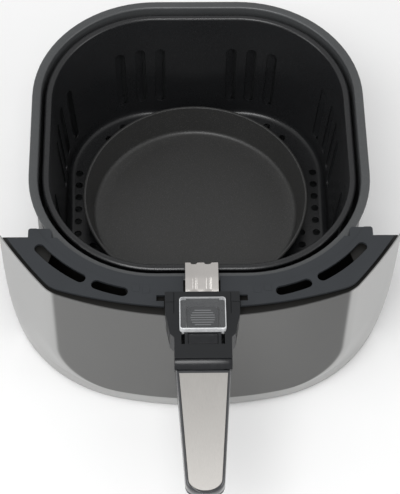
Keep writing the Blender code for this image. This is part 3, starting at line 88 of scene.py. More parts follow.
class Flow:
    """A value on its way through a material's nodes. Sums and products of it add Math nodes."""

    def __init__(self, tree, socket=None):
        self.tree = tree
        self.socket = socket

    def node(self, kind, settings=None, inputs=None, output=0):
        made = self.tree.nodes.new("ShaderNode" + kind)
        for name, value in (settings or {}).items():
            if name == "stops":
                for element, (place, colour) in zip(made.color_ramp.elements, value):
                    element.position = place
                    element.color = colour
            else:
                setattr(made, name, value)
        for name, value in (inputs or {}).items():
            if isinstance(value, Flow):
                self.tree.links.new(value.socket, made.inputs[name])
            else:
                made.inputs[name].default_value = value
        return Flow(self.tree, made.outputs[output])

    def maths(self, operation, first, second):
        return self.node("Math", {"operation": operation}, {0: first, 1: second})

    def __add__(self, other):
        return self.maths("ADD", self, other)

    def __sub__(self, other):
        return self.maths("SUBTRACT", self, other)

    def __rsub__(self, other):
        return self.maths("SUBTRACT", other, self)

    def __mul__(self, other):
        return self.maths("MULTIPLY", self, other)

    __radd__ = __add__
    __rmul__ = __mul__


def new_finish(name, fixed):
    """Material with a Principled shader: the material, its shader, and its Object coordinates."""
    finish = bpy.data.materials.new(name)
    finish.use_nodes = True
    shader = finish.node_tree.nodes["Principled BSDF"]
    for socket, value in fixed.items():
        shader.inputs[socket].default_value = value
    place = Flow(finish.node_tree).node("TexCoord", output="Object")
    return finish, shader, place


def feed(shader, sockets):
    for name, flow in sockets.items():
        flow.tree.links.new(flow.socket, shader.inputs[name])


def speckle(place, size, detail=2.0):
    """Even noise with grains of a size in metres, from 0 to 1."""
    return place.node("TexNoise", None, {"Vector": place, "Scale": 1.0 / size, "Detail": detail})


def blend(first, second, amount):
    """Colour from the first, at an amount of 0, to the second, at 1."""
    return amount.node("Mix", {"data_type": "RGBA"}, {0: amount, 6: first, 7: second}, output=2)


def relief(height, depth, strength=1.0):
    """Normal that follows a height of 0 to 1, at a depth in metres."""
    return height.node("Bump", None, {"Height": height, "Strength": strength, "Distance": depth})


def solid(name, shell, finish, smooth=30.0):
    """Object from a closed mesh, shaded smooth up to an angle in degrees."""
    bmesh.ops.recalc_face_normals(shell, faces=shell.faces[:])
    if shell.calc_volume(signed=True) < 0:
        bmesh.ops.reverse_faces(shell, faces=shell.faces[:])
    data = bpy.data.meshes.new(name)
    shell.to_mesh(data)
    shell.free()
    data.shade_smooth()
    data.set_sharp_from_angle(angle=math.radians(smooth))
    data.materials.append(finish)
    piece = bpy.data.objects.new(name, data)
    bpy.context.scene.collection.objects.link(piece)
    return piece


table_finish, shader, place = new_finish("table", {"Roughness": 0.7, "Specular IOR Level": 0.2})
feed(shader, {"Base Color": blend(TABLE_COLOUR, (0.93, 0.93, 0.93, 1.0), speckle(place, 0.15))})
table_top = bmesh.new()
bmesh.ops.create_grid(table_top, x_segments=2, y_segments=2, size=TABLE_HALF)
table_mesh = bpy.data.meshes.new("table")
table_top.to_mesh(table_mesh)
table_top.free()
table_mesh.materials.append(table_finish)
table = bpy.data.objects.new("table", table_mesh)
bpy.context.scene.collection.objects.link(table)

room = bpy.data.worlds.new("room")
room.use_nodes = True
room.node_tree.nodes["Background"].inputs["Color"].default_value = ROOM_COLOUR
room.node_tree.nodes["Background"].inputs["Strength"].default_value = ROOM_STRENGTH
bpy.context.scene.world = room
bpy.context.scene.view_settings.view_transform = "Standard"
for name, (stand, aim, width, height, watts) in SOFT_BOXES.items():
    box = bpy.data.objects.new(name, bpy.data.lights.new(name, "AREA"))
    box.data.shape = "RECTANGLE"
    box.data.size = width
    box.data.size_y = height
    box.data.energy = watts
    box.matrix_world = (Matrix.Translation(stand)
                        @ (Vector(aim) - Vector(stand)).to_track_quat("-Z", "Y").to_matrix().to_4x4())
    bpy.context.scene.collection.objects.link(box)


# Drawer pan: a tub deep-drawn from sheet steel, its rim turned over into a flat flange with a rolled
# edge, and coated inside and out in a dark satin non-stick finish.
pan_low, pan_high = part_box("drawer_pan")
RIM = pan_high.z
PAN_HALF = (pan_high.x, pan_high.y)
PAN_CORNER = 0.097
PAN_WALL = 0.0012
PAN_FLANGE = 0.007
PAN_EDGE = 0.0011             # radius of the rolled edge
PAN_LEAN = 0.006              # from the mouth in to the floor
PAN_FILLET = 0.006
PAN_CROWN = 0.0004            # how far the flange falls at its edges
CORNER_STEPS = 20


def rounded_ring(shell, half, corner, z, centre_y=0.0):
    """Loop of edges round a rectangle whose corners are bevelled to arcs."""
    corners = [shell.verts.new((x * half[0], centre_y + y * half[1], z))
               for x, y in ((-1, -1), (1, -1), (1, 1), (-1, 1))]
    face = shell.faces.new(corners)
    made = bmesh.ops.bevel(shell, geom=corners, offset=corner, offset_type="OFFSET",
                           segments=CORNER_STEPS, profile=0.5, affect="VERTICES", material=-1)
    edges = list({edge for vert in made["verts"] for edge in vert.link_edges})
    faces = list({face for edge in edges for face in edge.link_faces})
    bmesh.ops.delete(shell, geom=faces, context="FACES_ONLY")
    return edges


def tub(rings):
    """Closed mesh through rounded rings of (half sizes, corner, z, centre y), capped at both ends."""
    shell = bmesh.new()
    loops = [rounded_ring(shell, *ring) for ring in rings]
    for lower, upper in zip(loops, loops[1:]):
        bmesh.ops.bridge_loops(shell, edges=lower + upper)
    for loop in (loops[0], loops[-1]):
        cap = bmesh.ops.contextual_create(shell, geom=loop)["faces"]
        bmesh.ops.inset_region(shell, faces=cap, thickness=0.003, use_even_offset=True)
    return shell


def arc(centre, radius, start, end, steps):
    """Points on a turn about a centre, in degrees, both ends included."""
    turns = [math.radians(start + (end - start) * step / steps) for step in range(steps + 1)]
    return [(centre[0] + radius * math.cos(a), centre[1] + radius * math.sin(a)) for a in turns]


def pan_ring(inset, z):
    return (PAN_HALF[0] - inset, PAN_HALF[1] - inset), PAN_CORNER - inset, z


outer_lean = PAN_FLANGE + PAN_LEAN - PAN_WALL
inner_lean = PAN_FLANGE + PAN_LEAN
under_rim = RIM - 2 * PAN_EDGE
neck = 0.003
profile = arc((outer_lean + PAN_FILLET, PAN_FILLET), PAN_FILLET, 270, 180, 6)
profile += arc((PAN_FLANGE - PAN_WALL - neck, under_rim - neck), neck, 0, 90, 5)
profile += arc((PAN_EDGE, RIM - PAN_EDGE - PAN_CROWN), PAN_EDGE, 270, 90, 8)
profile += [(0.5 * PAN_FLANGE, RIM)]
profile += arc((PAN_FLANGE - 0.002, RIM - PAN_CROWN - 0.002), 0.002, 90, 0, 6)
inner_fillet = PAN_FILLET - PAN_WALL
profile += arc((inner_lean + inner_fillet, PAN_WALL + inner_fillet), inner_fillet, 180, 270, 6)
shell = tub([pan_ring(inset, z) for inset, z in profile])


def coating(name, colour, fleck, roughness, metallic):
    """Sprayed non-stick: tiny pale flecks in a dark satin film with a fine orange-peel surface."""
    finish, shader, place = new_finish(name, {"Metallic": metallic, "Specular IOR Level": 0.55})
    peel = speckle(place, 0.0009, 3.0)
    flecks = place.node("ValToRGB", {"stops": [(0.60, (0, 0, 0, 1)), (0.72, (1, 1, 1, 1))]},
                        {"Fac": speckle(place, 0.00055, 1.0)})
    cloud = speckle(place, 0.045, 2.0)
    toned = blend((*colour, 1.0), (*[1.22 * part for part in colour], 1.0), cloud)
    feed(shader, {"Base Color": blend(toned, (*fleck, 1.0), flecks * 0.55),
                  "Roughness": roughness + 0.10 * (peel - 0.5) + 0.06 * (cloud - 0.5),
                  "Normal": relief(peel, 0.00006, 0.55)})
    return finish


pan_coating = coating("pan_coating", (0.062, 0.065, 0.067), (0.15, 0.15, 0.155), 0.36, 0.25)
pan = solid("drawer_pan_pressing", shell, pan_coating)
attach(pan, "drawer")
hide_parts("drawer_pan")


# Steel front: one sheet bowed round the drawer, folded back along both sides and tucked in along its
# foot, where the panel's lower corners are rounded. It is brushed level. Its colour holds painted light:
# the front is a darker grey and the sides and foot band a lighter grey, as painted reflection, and the
# front darkens towards its corner on +X as painted shade.
skin_low, skin_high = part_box("fascia_skin")
FRONT_Y = skin_low.y
FRONT_BACK_Y = skin_high.y
FRONT_HALF_WIDTH = skin_high.x
FRONT_BOTTOM = skin_low.z
FRONT_HEIGHT = skin_high.z - skin_low.z
FRONT_RADIUS = 0.294
FRONT_CORNER_X = PAN_HALF[0] - 0.018
FRONT_CORNER_SOFT = 0.006
FRONT_SIDE_BOW = 0.0012
FRONT_LOW_BOW = 0.009
FRONT_LOW_RADIUS = 0.043
FRONT_BAND_HEIGHT = 0.017
FRONT_BAND_TUCK = 0.004
FRONT_END_TUCK = 0.0085
SKIN_THICK = 0.0008
FRONT_COLUMNS = (44, 8, 22)   # half the bowed front, a soft corner, a side
FRONT_ROWS = 64


def front_line(z, inset=0.0, back_y=FRONT_BACK_Y):
    """Half of the front's line in plan at a height, from its middle to its end on +X. An inset line
    ends at back_y."""
    drop = FRONT_HEIGHT - (z - FRONT_BOTTOM)
    panel_bottom = FRONT_HEIGHT - FRONT_BAND_HEIGHT
    into_round = min(max(drop - panel_bottom + FRONT_LOW_RADIUS, 0.0), FRONT_LOW_RADIUS)
    corner_in = FRONT_LOW_RADIUS - math.sqrt(FRONT_LOW_RADIUS ** 2 - into_round ** 2)
    corner_x = FRONT_CORNER_X - corner_in
    tuck = FRONT_BAND_TUCK * (max(drop - panel_bottom, 0.0) / FRONT_BAND_HEIGHT) ** 1.3
    end = Vector((FRONT_HALF_WIDTH - FRONT_END_TUCK * (drop / FRONT_HEIGHT) ** 3, FRONT_BACK_Y))
    bow = FRONT_SIDE_BOW + FRONT_LOW_BOW * corner_in / FRONT_LOW_RADIUS

    def bowed(x):
        return Vector((x, FRONT_Y + tuck + FRONT_RADIUS - math.sqrt(FRONT_RADIUS ** 2 - x * x)))

    corner = bowed(corner_x)
    run = end - corner
    aside = Vector((run.y, -run.x)) / run.length

    def side(share):
        return corner + run * share + aside * (4 * bow * share * (1 - share))

    before = bowed(corner_x - FRONT_CORNER_SOFT)
    soft = FRONT_CORNER_SOFT / run.length
    after = side(soft)
    front, turn, back = FRONT_COLUMNS
    points = [bowed((corner_x - FRONT_CORNER_SOFT) * step / front) for step in range(front)]
    for step in range(turn):
        t = step / turn
        points.append((1 - t) ** 2 * before + 2 * t * (1 - t) * corner + t * t * after)
    points += [side(soft + (1 - soft) * step / back) for step in range(back + 1)]
    if inset == 0.0:
        return points
    moved = []
    for i, point in enumerate(points):
        along = points[min(i + 1, len(points) - 1)] - points[max(i - 1, 0)]
        moved.append(point + Vector((-along.y, along.x)) * (inset / along.length))
    kept = [point for point in moved[:-1] if point.y < back_y - 0.0003]
    last_run = kept[-1] - kept[-2]
    return kept + [kept[-1] + last_run * ((back_y - kept[-1].y) / last_run.y)]


def front_height(row):
    """Height of a row of the sheet; rows crowd where the band meets the panel."""
    share = row / FRONT_ROWS
    band = FRONT_BAND_HEIGHT / FRONT_HEIGHT
    if share < 0.25:
        return FRONT_BOTTOM + FRONT_HEIGHT * band * (1 - (1 - share / 0.25) ** 1.5)
    rise = (share - 0.25) / 0.75
    return FRONT_BOTTOM + FRONT_HEIGHT * (band + (1 - band) * rise ** 1.6)


columns = 2 * sum(FRONT_COLUMNS)
shell = bmesh.new()
bmesh.ops.create_grid(shell, x_segments=columns, y_segments=FRONT_ROWS, size=0.5)
lines = [front_line(front_height(row)) for row in range(FRONT_ROWS + 1)]
for vert in shell.verts:
    column = round((vert.co.x + 0.5) * columns) - columns // 2
    row = round((vert.co.y + 0.5) * FRONT_ROWS)
    point = lines[row][abs(column)]
    vert.co = (math.copysign(point.x, column), point.y, front_height(row))
bmesh.ops.recalc_face_normals(shell, faces=shell.faces[:])
shell.faces.ensure_lookup_table()
if shell.faces[len(shell.faces) // 2].normal.y > 0:
    bmesh.ops.reverse_faces(shell, faces=shell.faces[:])
bmesh.ops.solidify(shell, geom=shell.faces[:], thickness=SKIN_THICK)


HAIR_LENGTH = 0.05
HAIR_WIDTH = 0.00035


def brushed(name, along, roughness, depth):
    """Metal with hairlines along an axis: the material, its shader and coordinates, then the
    hairlines, a faint cloud, the roughness and the normal as flows."""
    finish, shader, place = new_finish(name, {"Metallic": 1.0})
    scale = [1.0 / HAIR_WIDTH] * 3
    scale["XYZ".index(along)] = 1.0 / HAIR_LENGTH
    stretched = place.node("Mapping", None, {"Vector": place, "Scale": scale})
    hair = stretched.node("TexNoise", None, {"Vector": stretched, "Scale": 1.0, "Detail": 3.0})
    cloud = speckle(place, 0.05, 2.0)
    rough = roughness + 0.16 * (hair - 0.5) + 0.05 * (cloud - 0.5)
    return finish, shader, place, hair, cloud, rough, relief(hair, depth, 0.5)


steel_front, shader, place, hair, cloud, rough, normal = brushed(
    "steel_front", "X", 0.34, 0.00002)
spot = place.node("SeparateXYZ", None, {"Vector": place})
across = spot.node("Math", {"operation": "ABSOLUTE"}, {0: spot})
height = Flow(spot.tree, spot.socket.node.outputs["Z"])
# Painted reflection: the front panel's darker grey and the lighter grey of the sides and foot band are one
# steel painted as lit and shaded copies.
FRONT_PAINTED_DARK_GREY = (0.165, 0.165, 0.162, 1.0)
SIDE_PAINTED_REFLECTION = (0.44, 0.44, 0.435, 1.0)
round_top = FRONT_BOTTOM + FRONT_BAND_HEIGHT + FRONT_LOW_RADIUS
fallen = (round_top - height).maths("MAXIMUM", round_top - height, 0.0)
fallen = fallen.maths("MINIMUM", fallen, FRONT_LOW_RADIUS)
corner_in = FRONT_LOW_RADIUS - fallen.maths("SQRT", FRONT_LOW_RADIUS ** 2 - fallen * fallen, 0.0)
on_side = across.node("MapRange", {"interpolation_type": "SMOOTHSTEP"},
                      {"Value": across + corner_in, "From Min": FRONT_CORNER_X - 0.005,
                       "From Max": FRONT_CORNER_X - 0.001})
in_band = height.node("MapRange", None,
                      {"Value": height, "From Min": FRONT_BOTTOM + FRONT_BAND_HEIGHT + 0.0005,
                       "From Max": FRONT_BOTTOM + FRONT_BAND_HEIGHT - 0.0005})
painted_reflection_mask = on_side.maths("MAXIMUM", on_side, in_band)
# Painted shade: the front panel darkens from its middle towards its corner on +X.
shade = spot.node("MapRange", {"interpolation_type": "SMOOTHSTEP"},
                  {"Value": spot, "From Min": 0.02, "From Max": FRONT_CORNER_X,
                   "To Min": 1.0, "To Max": 0.72})
panel = blend((0.0, 0.0, 0.0, 1.0), FRONT_PAINTED_DARK_GREY, shade)
steel_tone = blend(panel, SIDE_PAINTED_REFLECTION, painted_reflection_mask)
hairline = blend((0.86, 0.86, 0.86, 1.0), (1.0, 1.0, 1.0, 1.0), hair)
feed(shader, {"Base Color": steel_tone.node("Mix", {"data_type": "RGBA", "blend_type": "MULTIPLY"},
                                            {0: 1.0, 6: steel_tone, 7: hairline}, output=2),
              "Roughness": rough, "Normal": normal})
front = solid("steel_front_sheet", shell, steel_front, smooth=38.0)
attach(front, "drawer")
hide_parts("fascia_skin")


# Carrier behind the steel and the cover under it: black moulded plastic with a fine spark grain,
# screwed to each other and, through two steel angles, to the pan.
def dress(finish, *names):
    """Puts a finish on the frame's own pieces."""
    for name in names:
        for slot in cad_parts[name].material_slots:
            slot.material = finish


def moulded(name, colour, roughness, grain, depth):
    """Plastic from a textured mould: small even grains, faintly cloudy in colour and gloss."""
    finish, shader, place = new_finish(name, {"Specular IOR Level": 0.28})
    pits = speckle(place, grain, 2.0)
    cloud = speckle(place, 0.02, 2.0)
    feed(shader, {"Base Color": blend((*[0.86 * part for part in colour], 1.0),
                                      (*[1.16 * part for part in colour], 1.0), 0.5 * pits + 0.5 * cloud),
                  "Roughness": roughness + 0.12 * (pits - 0.5) + 0.06 * (cloud - 0.5),
                  "Normal": relief(pits, depth, 0.6)})
    return finish


black_plastic = moulded("black_plastic", (0.013, 0.0125, 0.0115), 0.46, 0.0007, 0.00005)
dress(black_plastic, "fascia_liner", "base_cover")


# Trim on top of the carrier: charcoal plastic with a fine matt grain. It closes the gap between the
# pan's rim and the steel, lets air out through four slots, and is notched for the handle's head.
deck_low, deck_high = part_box("top_deck")
head_low, head_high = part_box("handle_head")
PAN_GAP = 0.0003
DECK_TOP = deck_high.z
DECK_BOTTOM = RIM + PAN_GAP
DECK_EDGE = (0.0070, 0.0030)  # its outer edge, inside the steel's face: in the middle, at the corners
DECK_OVERLAP = 0.002          # how far it covers the pan's rim
DECK_BACK_Y = FRONT_BACK_Y - 0.0035
DECK_TAB = (PAN_HALF[0] - 0.0195, PAN_HALF[0] - 0.002, FRONT_BACK_Y + 0.0045)   # X limits and back
SLOT_WIDTH = 0.0078
SLOT_OFFSET = 0.0140          # slot's middle, outside the pan's rim
SLOT_TURNS = ((-60.0, -39.2), (-77.2, -66.8))
STEP_OFFSET = 0.0060          # shallow step round the pan, outside its rim
STEP_DEEP = 0.0005
NOTCH_GAP = 0.0006
NOTCH_EAR = 0.0055
NOTCH_EAR_LENGTH = 0.005
STRAP_ROOM = 0.0135
PADS = ((0.0405, -0.1455), (0.0480, -0.1440))     # flat raised pads beside the notch
PAD_SIZE = (0.0052, 0.0052, 0.0003)
CUT = 0.002                   # how far a cutter runs past a face


def plate(outline, low, high):
    """Outline of places in plan, extruded from one height to another."""
    shell = bmesh.new()
    face = shell.faces.new([shell.verts.new((x, y, low)) for x, y in outline])
    raised = bmesh.ops.extrude_face_region(shell, geom=[face])["geom"]
    bmesh.ops.translate(shell, verts=[part for part in raised if isinstance(part, bmesh.types.BMVert)],
                        vec=(0.0, 0.0, high - low))
    bmesh.ops.recalc_face_normals(shell, faces=shell.faces[:])
    return shell


def block(shell, x, y, z):
    """Adds a box between two limits on each axis."""
    middle = Matrix.Translation(((x[0] + x[1]) / 2, (y[0] + y[1]) / 2, (z[0] + z[1]) / 2))
    bmesh.ops.create_cube(shell, size=1.0,
                          matrix=middle @ Matrix.Diagonal((x[1] - x[0], y[1] - y[0], z[1] - z[0], 1.0)))


def drum(shell, place, radius, length, axis="Z", sides=32, tip=None):
    """Adds a cylinder, or a cone with a tip radius, centred on a place."""
    turn = {"X": Matrix.Rotation(math.pi / 2, 4, "Y"), "Y": Matrix.Rotation(-math.pi / 2, 4, "X"),
            "Z": Matrix.Identity(4)}[axis]
    bmesh.ops.create_cone(shell, cap_ends=True, segments=sides, radius1=radius,
                          radius2=radius if tip is None else tip, depth=length,
                          matrix=Matrix.Translation(place) @ turn)


def carved(shell, tool, operation="DIFFERENCE"):
    """The mesh with another cut out of it or joined to it."""
    things = []
    for mesh in (shell, tool):
        data = bpy.data.meshes.new("work")
        mesh.to_mesh(data)
        mesh.free()
        things.append(bpy.data.objects.new("work", data))
        bpy.context.scene.collection.objects.link(things[-1])
    modifier = things[0].modifiers.new("work", "BOOLEAN")
    modifier.operation = operation
    modifier.object = things[1]
    modifier.use_self = True
    bpy.context.view_layer.update()
    result = bmesh.new()
    result.from_mesh(things[0].evaluated_get(bpy.context.evaluated_depsgraph_get()).to_mesh())
    for thing in things:
        bpy.data.meshes.remove(thing.data)
    return result


def gather(target, mesh, matrix=None):
    """Adds a mesh to another, moved into place."""
    data = bpy.data.meshes.new("work")
    if matrix is not None:
        bmesh.ops.transform(mesh, matrix=matrix, verts=mesh.verts[:])
    mesh.to_mesh(data)
    mesh.free()
    target.from_mesh(data)
    bpy.data.meshes.remove(data)


def eased(shell, width, angle=30.0, segments=2):
    """Rounds every edge that is sharper than an angle, as a mould or a deburring brush does."""
    bmesh.ops.remove_doubles(shell, verts=shell.verts[:], dist=0.00002)
    bmesh.ops.dissolve_limit(shell, angle_limit=math.radians(1.5), verts=shell.verts[:],
                             edges=shell.edges[:])
    sharp = [edge for edge in shell.edges if edge.calc_face_angle(0.0) > math.radians(angle)]
    bmesh.ops.bevel(shell, geom=sharp, offset=width, offset_type="OFFSET", segments=segments,
                    profile=0.5, affect="EDGES", clamp_overlap=True, material=-1)
    return shell


def flat_shaded(piece):
    """Keeps broad flat faces evenly lit beside their rounded edges."""
    weighted = piece.modifiers.new("weighted", "WEIGHTED_NORMAL")
    weighted.keep_sharp = True
    weighted.weight = 90


tab_near, tab_far, tab_back = DECK_TAB
tab_soft = 0.002
tab_edge = [(tab_far, DECK_BACK_Y)] + arc((tab_far - tab_soft, tab_back - tab_soft), tab_soft, 0, 90, 4)
tab_edge += [(tab_near, tab_back), (tab_near, DECK_BACK_Y)]
wide, narrow = (front_line(RIM, inset, DECK_BACK_Y) for inset in DECK_EDGE)
half_line = [first.lerp(last, min(first.x / FRONT_CORNER_X, 1.0) ** 2)
             for first, last in zip(wide[:-1], narrow[:-1])] + [narrow[-1]]
half_line = [(x, y) for x, y in half_line] + tab_edge
deck_outline = [(-x, y) for x, y in reversed(half_line[1:])] + half_line
shell = plate(deck_outline, DECK_BOTTOM, DECK_TOP - PAD_SIZE[2])
plug = tub([((PAN_HALF[0] - DECK_OVERLAP, PAN_HALF[1] - DECK_OVERLAP), PAN_CORNER - DECK_OVERLAP, z)
            for z in (DECK_BOTTOM - CUT, DECK_TOP + CUT)])
shell = carved(shell, plug)
step = tub([((PAN_HALF[0] + STEP_OFFSET, PAN_HALF[1] + STEP_OFFSET), PAN_CORNER + STEP_OFFSET, z)
            for z in (DECK_TOP - PAD_SIZE[2] - STEP_DEEP, DECK_TOP + CUT)])
shell = carved(shell, step)
corner_x, corner_y = PAN_HALF[0] - PAN_CORNER, PAN_HALF[1] - PAN_CORNER
middle_radius = PAN_CORNER + SLOT_OFFSET
slots = bmesh.new()
for side in (-1, 1):
    for first, last in SLOT_TURNS:
        half = SLOT_WIDTH / 2
        ends = [(corner_x + middle_radius * math.cos(math.radians(turn)),
                 -corner_y + middle_radius * math.sin(math.radians(turn))) for turn in (first, last)]
        outline = arc((corner_x, -corner_y), middle_radius + half, first, last, 16)
        outline += arc(ends[1], half, last, last + 180, 10)[1:-1]
        outline += arc((corner_x, -corner_y), middle_radius - half, last, first, 16)
        outline += arc(ends[0], half, first + 180, first + 360, 10)[1:-1]
        gather(slots, plate([(side * x, y) for x, y in outline], DECK_BOTTOM - CUT, DECK_TOP + CUT))
shell = carved(shell, slots)
notch = bmesh.new()
notch_half = head_high.x + NOTCH_GAP
notch_back = head_high.y + NOTCH_GAP
block(notch, (-STRAP_ROOM, STRAP_ROOM), (notch_back - CUT, -PAN_HALF[1] + 0.01),
      (DECK_BOTTOM - CUT, DECK_TOP + CUT))
block(notch, (-notch_half, notch_half), (FRONT_Y - 0.01, notch_back), (DECK_BOTTOM - CUT, DECK_TOP + CUT))
block(notch, (-notch_half - NOTCH_EAR, notch_half + NOTCH_EAR),
      (notch_back - NOTCH_EAR_LENGTH, notch_back), (DECK_BOTTOM - CUT, DECK_TOP + CUT))
shell = carved(shell, notch)
pads = bmesh.new()
for x, y in PADS:
    for side in (-1, 1):
        block(pads, (side * x - PAD_SIZE[0] / 2, side * x + PAD_SIZE[0] / 2),
              (y - PAD_SIZE[1] / 2, y + PAD_SIZE[1] / 2), (DECK_TOP - 0.0015, DECK_TOP))
shell = carved(shell, pads, "UNION")
charcoal = moulded("charcoal_plastic", (0.030, 0.033, 0.037), 0.46, 0.0006, 0.00005)
deck = solid("trim_moulding", eased(shell, 0.00035), charcoal)
flat_shaded(deck)
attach(deck, "drawer")
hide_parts("top_deck")


# Steel angles between the pan and the carrier, and the folded keeper that the handle's hook lies
# under: plain rolled sheet, coloured near black as painted shade. Zinc-plated pan-head screws with a cross
# recess hold them.
bracket_steel, shader, place, hair, cloud, rough, normal = brushed(
    "bracket_steel", "X", 0.38, 0.00002)
# Painted shade: the angles and the keeper are coloured near black for the shade they sit in under the
# carrier.
feed(shader, {"Base Color": blend((0.030, 0.030, 0.031, 1.0), (0.060, 0.060, 0.060, 1.0), cloud),
              "Roughness": rough, "Normal": normal})
dress(bracket_steel, "pan_bracket_left", "pan_bracket_right", "latch_keeper")

SCREW_HEAD = 0.0030
SCREW_SHANK = 0.0015
SCREW_HEAD_HIGH = 0.0018
THREAD_PITCH = 0.0008
zinc, shader, place = new_finish("zinc_fixings", {"Metallic": 1.0})
patina = speckle(place, 0.0012, 3.0)
feed(shader, {"Base Color": blend((0.36, 0.37, 0.38, 1.0), (0.56, 0.56, 0.54, 1.0), patina),
              "Roughness": 0.26 + 0.2 * patina, "Normal": relief(patina, 0.00002, 0.4)})


def spun(profile, steps, centre=(0.0, 0.0)):
    """Surface of revolution about a vertical axis from (radius, height) points."""
    shell = bmesh.new()
    verts = [shell.verts.new((centre[0] + radius, centre[1], z)) for radius, z in profile]
    edges = [shell.edges.new(pair) for pair in zip(verts, verts[1:])]
    bmesh.ops.spin(shell, geom=verts + edges, cent=(*centre, 0.0), axis=(0, 0, 1),
                   angle=2 * math.pi, steps=steps, use_merge=True)
    bmesh.ops.remove_doubles(shell, verts=shell.verts[:], dist=0.000005)
    bmesh.ops.recalc_face_normals(shell, faces=shell.faces[:])
    return shell


def turned_screw(length):
    """Screw that stands on its head at the origin and points up, with rounded head and thread."""
    profile = [(0.0, 0.0004), (0.0006, 0.0003)]
    profile += [(SCREW_HEAD * math.sin(math.radians(a)), 0.0016 * (1 - math.cos(math.radians(a))))
                for a in (40, 60, 75, 90)]
    profile += [(SCREW_HEAD, SCREW_HEAD_HIGH), (SCREW_SHANK, SCREW_HEAD_HIGH)]
    turns = int((length - SCREW_HEAD_HIGH - 0.001) / THREAD_PITCH)
    for turn in range(turns):
        z = SCREW_HEAD_HIGH + 0.0004 + turn * THREAD_PITCH
        profile += [(SCREW_SHANK - 0.0003, z), (SCREW_SHANK, z + THREAD_PITCH / 2)]
    profile += [(SCREW_SHANK * 0.55, length - 0.0003), (0.0, length)]
    shell = spun(profile, 18)
    recess = bmesh.new()
    for width, reach in ((0.0008, 0.0034), (0.0034, 0.0008)):
        block(recess, (-width / 2, width / 2), (-reach / 2, reach / 2), (-0.001, 0.0011))
    return carved(shell, recess)


def place_screws(names, body, turn):
    """Stands a turned screw where each of the frame's screws is, its tip up or forward."""
    for name in names:
        low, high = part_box(name)
        middle, reach = (low + high) / 2, high - low
        length = max(reach)
        axis = {"up": Matrix.Identity(4), "forward": Matrix.Rotation(math.pi / 2, 4, "X")}[turn]
        start = middle - axis.to_3x3() @ Vector((0.0, 0.0, length / 2))
        shell = turned_screw(length)
        bmesh.ops.transform(shell, matrix=Matrix.Translation(start) @ axis, verts=shell.verts[:])
        piece = solid(name + "_turned", shell, zinc, smooth=40.0)
        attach(piece, body)
        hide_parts(name)


place_screws([f"base_screw_{n}" for n in range(1, 5)] + [f"deck_screw_{n}" for n in range(1, 5)],
             "drawer", "up")
place_screws([f"bracket_screw_{n}" for n in range(1, 5)] + ["keeper_screw_1", "keeper_screw_2"],
             "drawer", "forward")


# Basket: drawn from thin sheet, its rim rolled into a bead, louvres pressed out of its walls and its
# floor punched with rows of holes. Non-stick coated, darker and finer than the pan.
basket_low, basket_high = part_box("basket")
BASKET_HALF = ((basket_high.x - basket_low.x) / 2, (basket_high.y - basket_low.y) / 2)
BASKET_Y = (basket_high.y + basket_low.y) / 2
BASKET_RIM = basket_high.z
BASKET_WALL = 0.001
BASKET_LOW = basket_low.z
BASKET_FLOOR = BASKET_LOW + BASKET_WALL
BASKET_BEAD = 0.0045
BASKET_CORNER = 0.088
BASKET_FLOOR_CORNER = 0.072
BASKET_TAPER = (0.0085, 0.0115)
BASKET_FILLET = 0.006
LOUVRE_WIDTH = 0.0086
LOUVRE_LENGTH = 0.060
LOUVRE_TOP = 0.0335           # below the basket's rim
LOUVRE_OUT = 0.0019
LOUVRE_SLIT = 0.0026
BACK_LOUVRES = (0.0295, 0.046, 0.0625)
SIDE_LOUVRES = (-0.049, -0.032, 0.020, 0.037, 0.054, 0.071)
HOLE_PITCH = 0.0122
HOLE_RADIUS = 0.0031
HOLE_REACH = (8, 8, 8, 8, 6, 6, 6, 5)   # columns each way in each row from the middle outwards


def basket_ring(inset, z):
    down = min(max((BASKET_RIM - z) / (BASKET_RIM - BASKET_FLOOR), 0.0), 1.0)
    half = [BASKET_HALF[i] - BASKET_BEAD - BASKET_TAPER[i] * down - inset for i in (0, 1)]
    neck_corner = BASKET_CORNER - BASKET_BEAD
    return half, neck_corner + (BASKET_FLOOR_CORNER - neck_corner) * down - inset, z, BASKET_Y


bead = BASKET_BEAD / 2 + BASKET_WALL / 2
bead_centre = (BASKET_WALL - bead, BASKET_RIM - 0.0021)
profile = arc((BASKET_FILLET, BASKET_LOW + BASKET_FILLET), BASKET_FILLET, 270, 180, 6)
profile += [(0.0, BASKET_LOW + (BASKET_RIM - BASKET_LOW) * share) for share in (0.3, 0.55, 0.8)]
profile += [(0.0, BASKET_RIM - 0.0042)]
profile += [(bead_centre[0] + bead * math.cos(math.radians(turn)),
             bead_centre[1] + 0.0021 * math.sin(math.radians(turn))) for turn in range(250, -1, -25)]
profile += [(BASKET_WALL, BASKET_LOW + (BASKET_RIM - BASKET_LOW) * share) for share in (0.8, 0.55, 0.3)]
fillet = BASKET_FILLET - BASKET_WALL
profile += arc((BASKET_WALL + fillet, BASKET_FLOOR + fillet), fillet, 180, 270, 6)
shell = tub([basket_ring(inset, z) for inset, z in profile])


